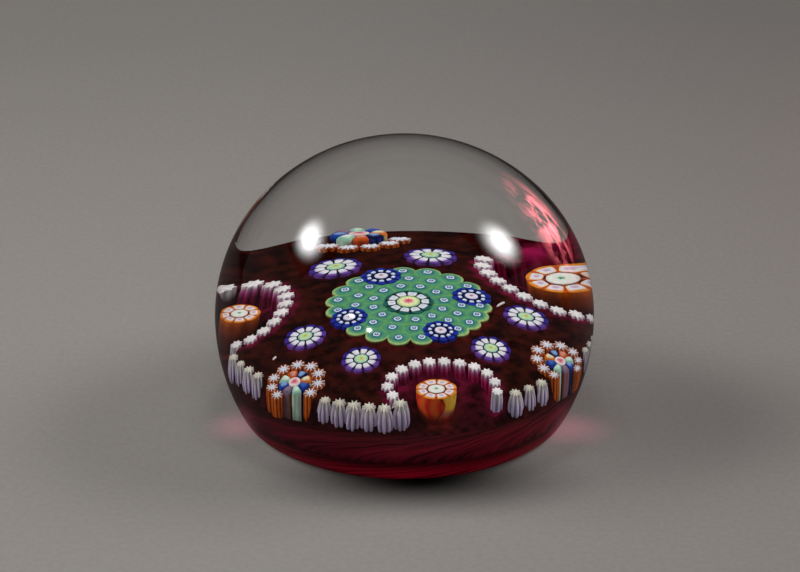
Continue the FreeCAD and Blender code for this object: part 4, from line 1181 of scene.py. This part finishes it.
# name, width, tallness, strength, bearing, height and roll of each card of white light
GLOW_CARDS = (
    ("left_glow", 0.8, 0.5, 34, -81, 44, 0),
    ("right_glow", 0.66, 0.72, 32, 83, 43, -24),
    ("front_glint", 0.14, 0.09, 40, -146, 25, 0),
    ("low_glint", 0.14, 0.12, 40, -158.7, 18.5, 0),
)
CARD_DISTANCE = 1.2
CAMERA_AIM = Vector((-0.85, 0, 25.27)) * MM
CAMERA_EYE = Vector((-0.85, -411.1, 208.3)) * MM


def add_fade(tree, source, low, high, start, end):
    """Turn a value from low..high into start..end, smoothly, and return the result."""
    node = add_range(tree, low, high, start, end, "SMOOTHSTEP")
    tree.links.new(source, node.inputs["Value"])
    return node.outputs["Result"]


def add_spot(tree, where, centre, reach, peak, edge):
    """Return a patch of a value: peak in its middle, edge outside."""
    shift = add_node(tree, "VectorMath", {1: (*centre, 0)}, operation="SUBTRACT")
    scale = add_node(tree, "VectorMath", {1: (1 / reach[0], 1 / reach[1], 0)}, operation="MULTIPLY")
    length = add_node(tree, "VectorMath", operation="LENGTH")
    link_all(tree, [
        (where, shift.inputs[0]),
        (shift.outputs["Vector"], scale.inputs[0]),
        (scale.outputs["Vector"], length.inputs[0]),
    ])
    return add_fade(tree, length.outputs["Value"], 0, 1, peak, edge)


def combine(tree, operation, first, *others):
    """Add or multiply values."""
    for other in others:
        node = add_node(tree, "Math", operation=operation)
        link_all(tree, [(first, node.inputs[0]), (other, node.inputs[1])])
        first = node.outputs["Value"]
    return first


def painted_floor_shade(tree, where):
    """Return the paper's painted shade: it falls off to the back and the right as painted light fall-off,
    darkens where the crystal mirrors it, and has painted shadows under and to the right of the weight.
    """
    split = add_node(tree, "SeparateXYZ")
    tree.links.new(where, split.inputs["Vector"])
    path = add_node(tree, "LightPath").outputs
    mirrored = combine(tree, "MULTIPLY", path["Is Glossy Ray"], path["Is Reflection Ray"])
    return combine(
        tree, "MULTIPLY",
        add_fade(tree, split.outputs["Y"], 0.02, 0.28, 1.0, 0.72),
        add_fade(tree, split.outputs["X"], -0.06, 0.14, 1.0, 0.74),
        add_fade(tree, mirrored, 0.0, 1.0, 1.0, MIRRORED_FLOOR),
        # painted shadows: a dark patch under the weight's front and a soft one to its right
        add_spot(tree, where, (0.003, -0.030), (0.036, 0.017), 0.0, 1.0),
        add_spot(tree, where, (0.055, -0.004), (0.055, 0.034), 0.8, 1.0))


def sweep_paper():
    """Make grey paper: fine grain, with painted light over it: a slow fall-off, the weight's soft painted
    shadow and a painted ruby glow.
    """
    material, tree, shader = new_material("sweep_paper", {
        "Roughness": 0.9, "Specular IOR Level": 0.1, "Emission Color": (1.0, 0.24, 0.34, 1)})
    where = add_node(tree, "TexCoord").outputs["Object"]
    noise = add_node(tree, "TexNoise", {"Scale": 900, "Detail": 3})
    grain = add_node(tree, "ValToRGB")
    dark, light = grain.color_ramp.elements
    dark.position, dark.color = 0.3, (0.250, 0.233, 0.219, 1)
    light.position, light.color = 0.7, (0.276, 0.257, 0.242, 1)
    paint = add_node(tree, "VectorMath", operation="SCALE")
    # painted glow: two pink patches beside the foot, drawn as the paper's emission
    glow = combine(tree, "ADD", add_spot(tree, where, (-0.032, -0.009), (0.0075, 0.008), 0.13, 0.0),
                   add_spot(tree, where, (0.031, -0.010), (0.011, 0.009), 0.14, 0.0))
    link_all(tree, [
        (where, noise.inputs["Vector"]),
        (noise.outputs["Fac"], grain.inputs["Fac"]),
        (grain.outputs["Color"], paint.inputs[0]),
        (painted_floor_shade(tree, where), paint.inputs["Scale"]),
        (paint.outputs["Vector"], shader.inputs["Base Color"]),
        (glow, shader.inputs["Emission Strength"]),
    ])
    return material


def plain_object(name, points, faces, material):
    """Make a studio object from points in metres."""
    mesh = bpy.data.meshes.new(name)
    mesh.from_pydata(points, [], faces)
    mesh.shade_smooth()
    mesh.materials.append(material)
    item = bpy.data.objects.new(name, mesh)
    bpy.context.scene.collection.objects.link(item)
    return item


def stage_floor():
    """Build the pale grey sweep: a floor that curves up into a backdrop."""
    half, front, back, bend, rise = 2.4, -2.0, 1.3, 0.6, 2.2
    turns = [math.pi / 2 * k / 12 for k in range(1, 13)]
    profile = [(front + (back - front) * k / 20, 0.0) for k in range(21)]
    profile += [(back + bend * math.sin(turn), bend * (1 - math.cos(turn))) for turn in turns]
    profile.append((back + bend, rise))
    points = [(x, y, z) for y, z in profile for x in (-half, half)]
    faces = [(2 * k, 2 * k + 1, 2 * k + 3, 2 * k + 2) for k in range(len(profile) - 1)]
    plain_object("sweep", points, faces, sweep_paper())


def face_weight(item, bearing, height, distance, roll=0.0, start=(0, 0, 0)):
    """Turn a lamp or card to face the weight, at a bearing clockwise from the back."""
    side, up = math.radians(bearing), math.radians(height)
    direction = Vector((math.sin(side) * math.cos(up), math.cos(side) * math.cos(up), math.sin(up)))
    item.location = Vector(start) + direction * distance
    turn = direction.to_track_quat("Z", "Y") @ Quaternion((0, 0, 1), math.radians(roll))
    item.rotation_euler = turn.to_euler()


def softbox(name, bearing, height, distance, width, tall, power):
    """Hang one softbox; what the crystal mirrors of it is a card's work."""
    lamp = bpy.data.lights.new(name, "AREA")
    lamp.shape = "RECTANGLE"
    lamp.size, lamp.size_y = width, tall
    lamp.energy = power
    item = bpy.data.objects.new(name, lamp)
    item.visible_transmission = False
    item.visible_glossy = False
    face_weight(item, bearing, height, distance)
    bpy.context.scene.collection.objects.link(item)


def glow_card(name, width, tall, strength, colour=(1, 1, 1), streaky=False):
    """Make a card that glows most in its middle and is seen only as a reflection on the crystal."""
    material, tree, shader = new_material(name, {})
    tree.nodes.remove(shader)
    glow = add_node(tree, "Emission", {"Color": (*colour, 1)})
    where = add_node(tree, "TexCoord").outputs["Object"]
    patch = add_spot(tree, where, (0, 0), (width / 2, tall / 2), 1.0, 0.0)
    bounces = add_node(tree, "LightPath").outputs["Diffuse Depth"]
    power = combine(tree, "MULTIPLY", patch, patch, add_fade(tree, bounces, 0.0, 1.0, strength, 0.0))
    if streaky:
        wisps = add_node(tree, "TexNoise", {"Scale": 32, "Detail": 3, "Distortion": 0.7})
        tree.links.new(where, wisps.inputs["Vector"])
        power = combine(tree, "MULTIPLY", power, add_fade(tree, wisps.outputs["Fac"], 0.38, 0.64, 0.0, 1.0))
    link_all(tree, [
        (power, glow.inputs["Strength"]),
        (glow.outputs["Emission"], tree.nodes["Material Output"].inputs["Surface"]),
    ])
    corners = [(x * width / 2, y * tall / 2, 0) for x, y in ((-1, -1), (1, -1), (1, 1), (-1, 1))]
    card = plain_object(name, corners, [(0, 1, 2, 3)], material)
    for ray in ("camera", "diffuse", "transmission", "volume_scatter", "shadow"):
        setattr(card, "visible_" + ray, False)
    return card


def studio():
    """Set up the sweep, the softboxes, the glowing cards and the dim surroundings."""
    stage_floor()
    for settings in SOFTBOXES:
        softbox(*settings)
    for name, width, tall, strength, bearing, height, roll in GLOW_CARDS:
        face_weight(glow_card(name, width, tall, strength), bearing, height, CARD_DISTANCE, roll)
    # painted reflection: a streaky red card, seen only in the crystal, stands in for red light from the ruby
    # near the dome's right shoulder
    painted_ruby_reflection = glow_card("painted_ruby_reflection", 0.28, 0.24, 18, colour=(1.0, 0.18, 0.22), streaky=True)
    face_weight(painted_ruby_reflection, 44, 12, 0.25, start=(0.03, 0, 0.04))
    world = bpy.data.worlds.new("studio")
    world.use_nodes = True
    world.node_tree.nodes["Background"].inputs["Color"].default_value = (0.07, 0.069, 0.067, 1)
    world.node_tree.nodes["Background"].inputs["Strength"].default_value = 1.0
    bpy.context.scene.world = world
    bpy.context.scene.view_settings.view_transform = "Standard"


def camera():
    """Set up the camera: a long lens that looks down on the weight from the front."""
    lens = bpy.data.cameras.new("camera")
    lens.lens = 106.9
    lens.sensor_width = 36
    item = bpy.data.objects.new("camera", lens)
    item.location = CAMERA_EYE
    item.rotation_euler = (CAMERA_EYE - CAMERA_AIM).to_track_quat("Z", "Y").to_euler()
    bpy.context.scene.collection.objects.link(item)
    bpy.context.scene.camera = item


crystal_shell()
ruby_ground()
middle_cane()
carpet()
blue_canes()
purple_canes()
orange_canes()
star_canes("loop_star_canes", "loop_cane_stars", ("loop_cane_stars", "loop_cane_casings"), loop_side,
           reach=1.0, taper=1.6, tip_share=0.55)
star_canes("edge_star_canes", "edge_cane_stars", ("edge_cane_casings", "edge_cane_stars"), edge_side,
           reach=1.4, taper=2.4, tip_share=0.45, points=9, droop=0.8)
cluster_star_canes()
clusters()
slivers()
studio()
camera()
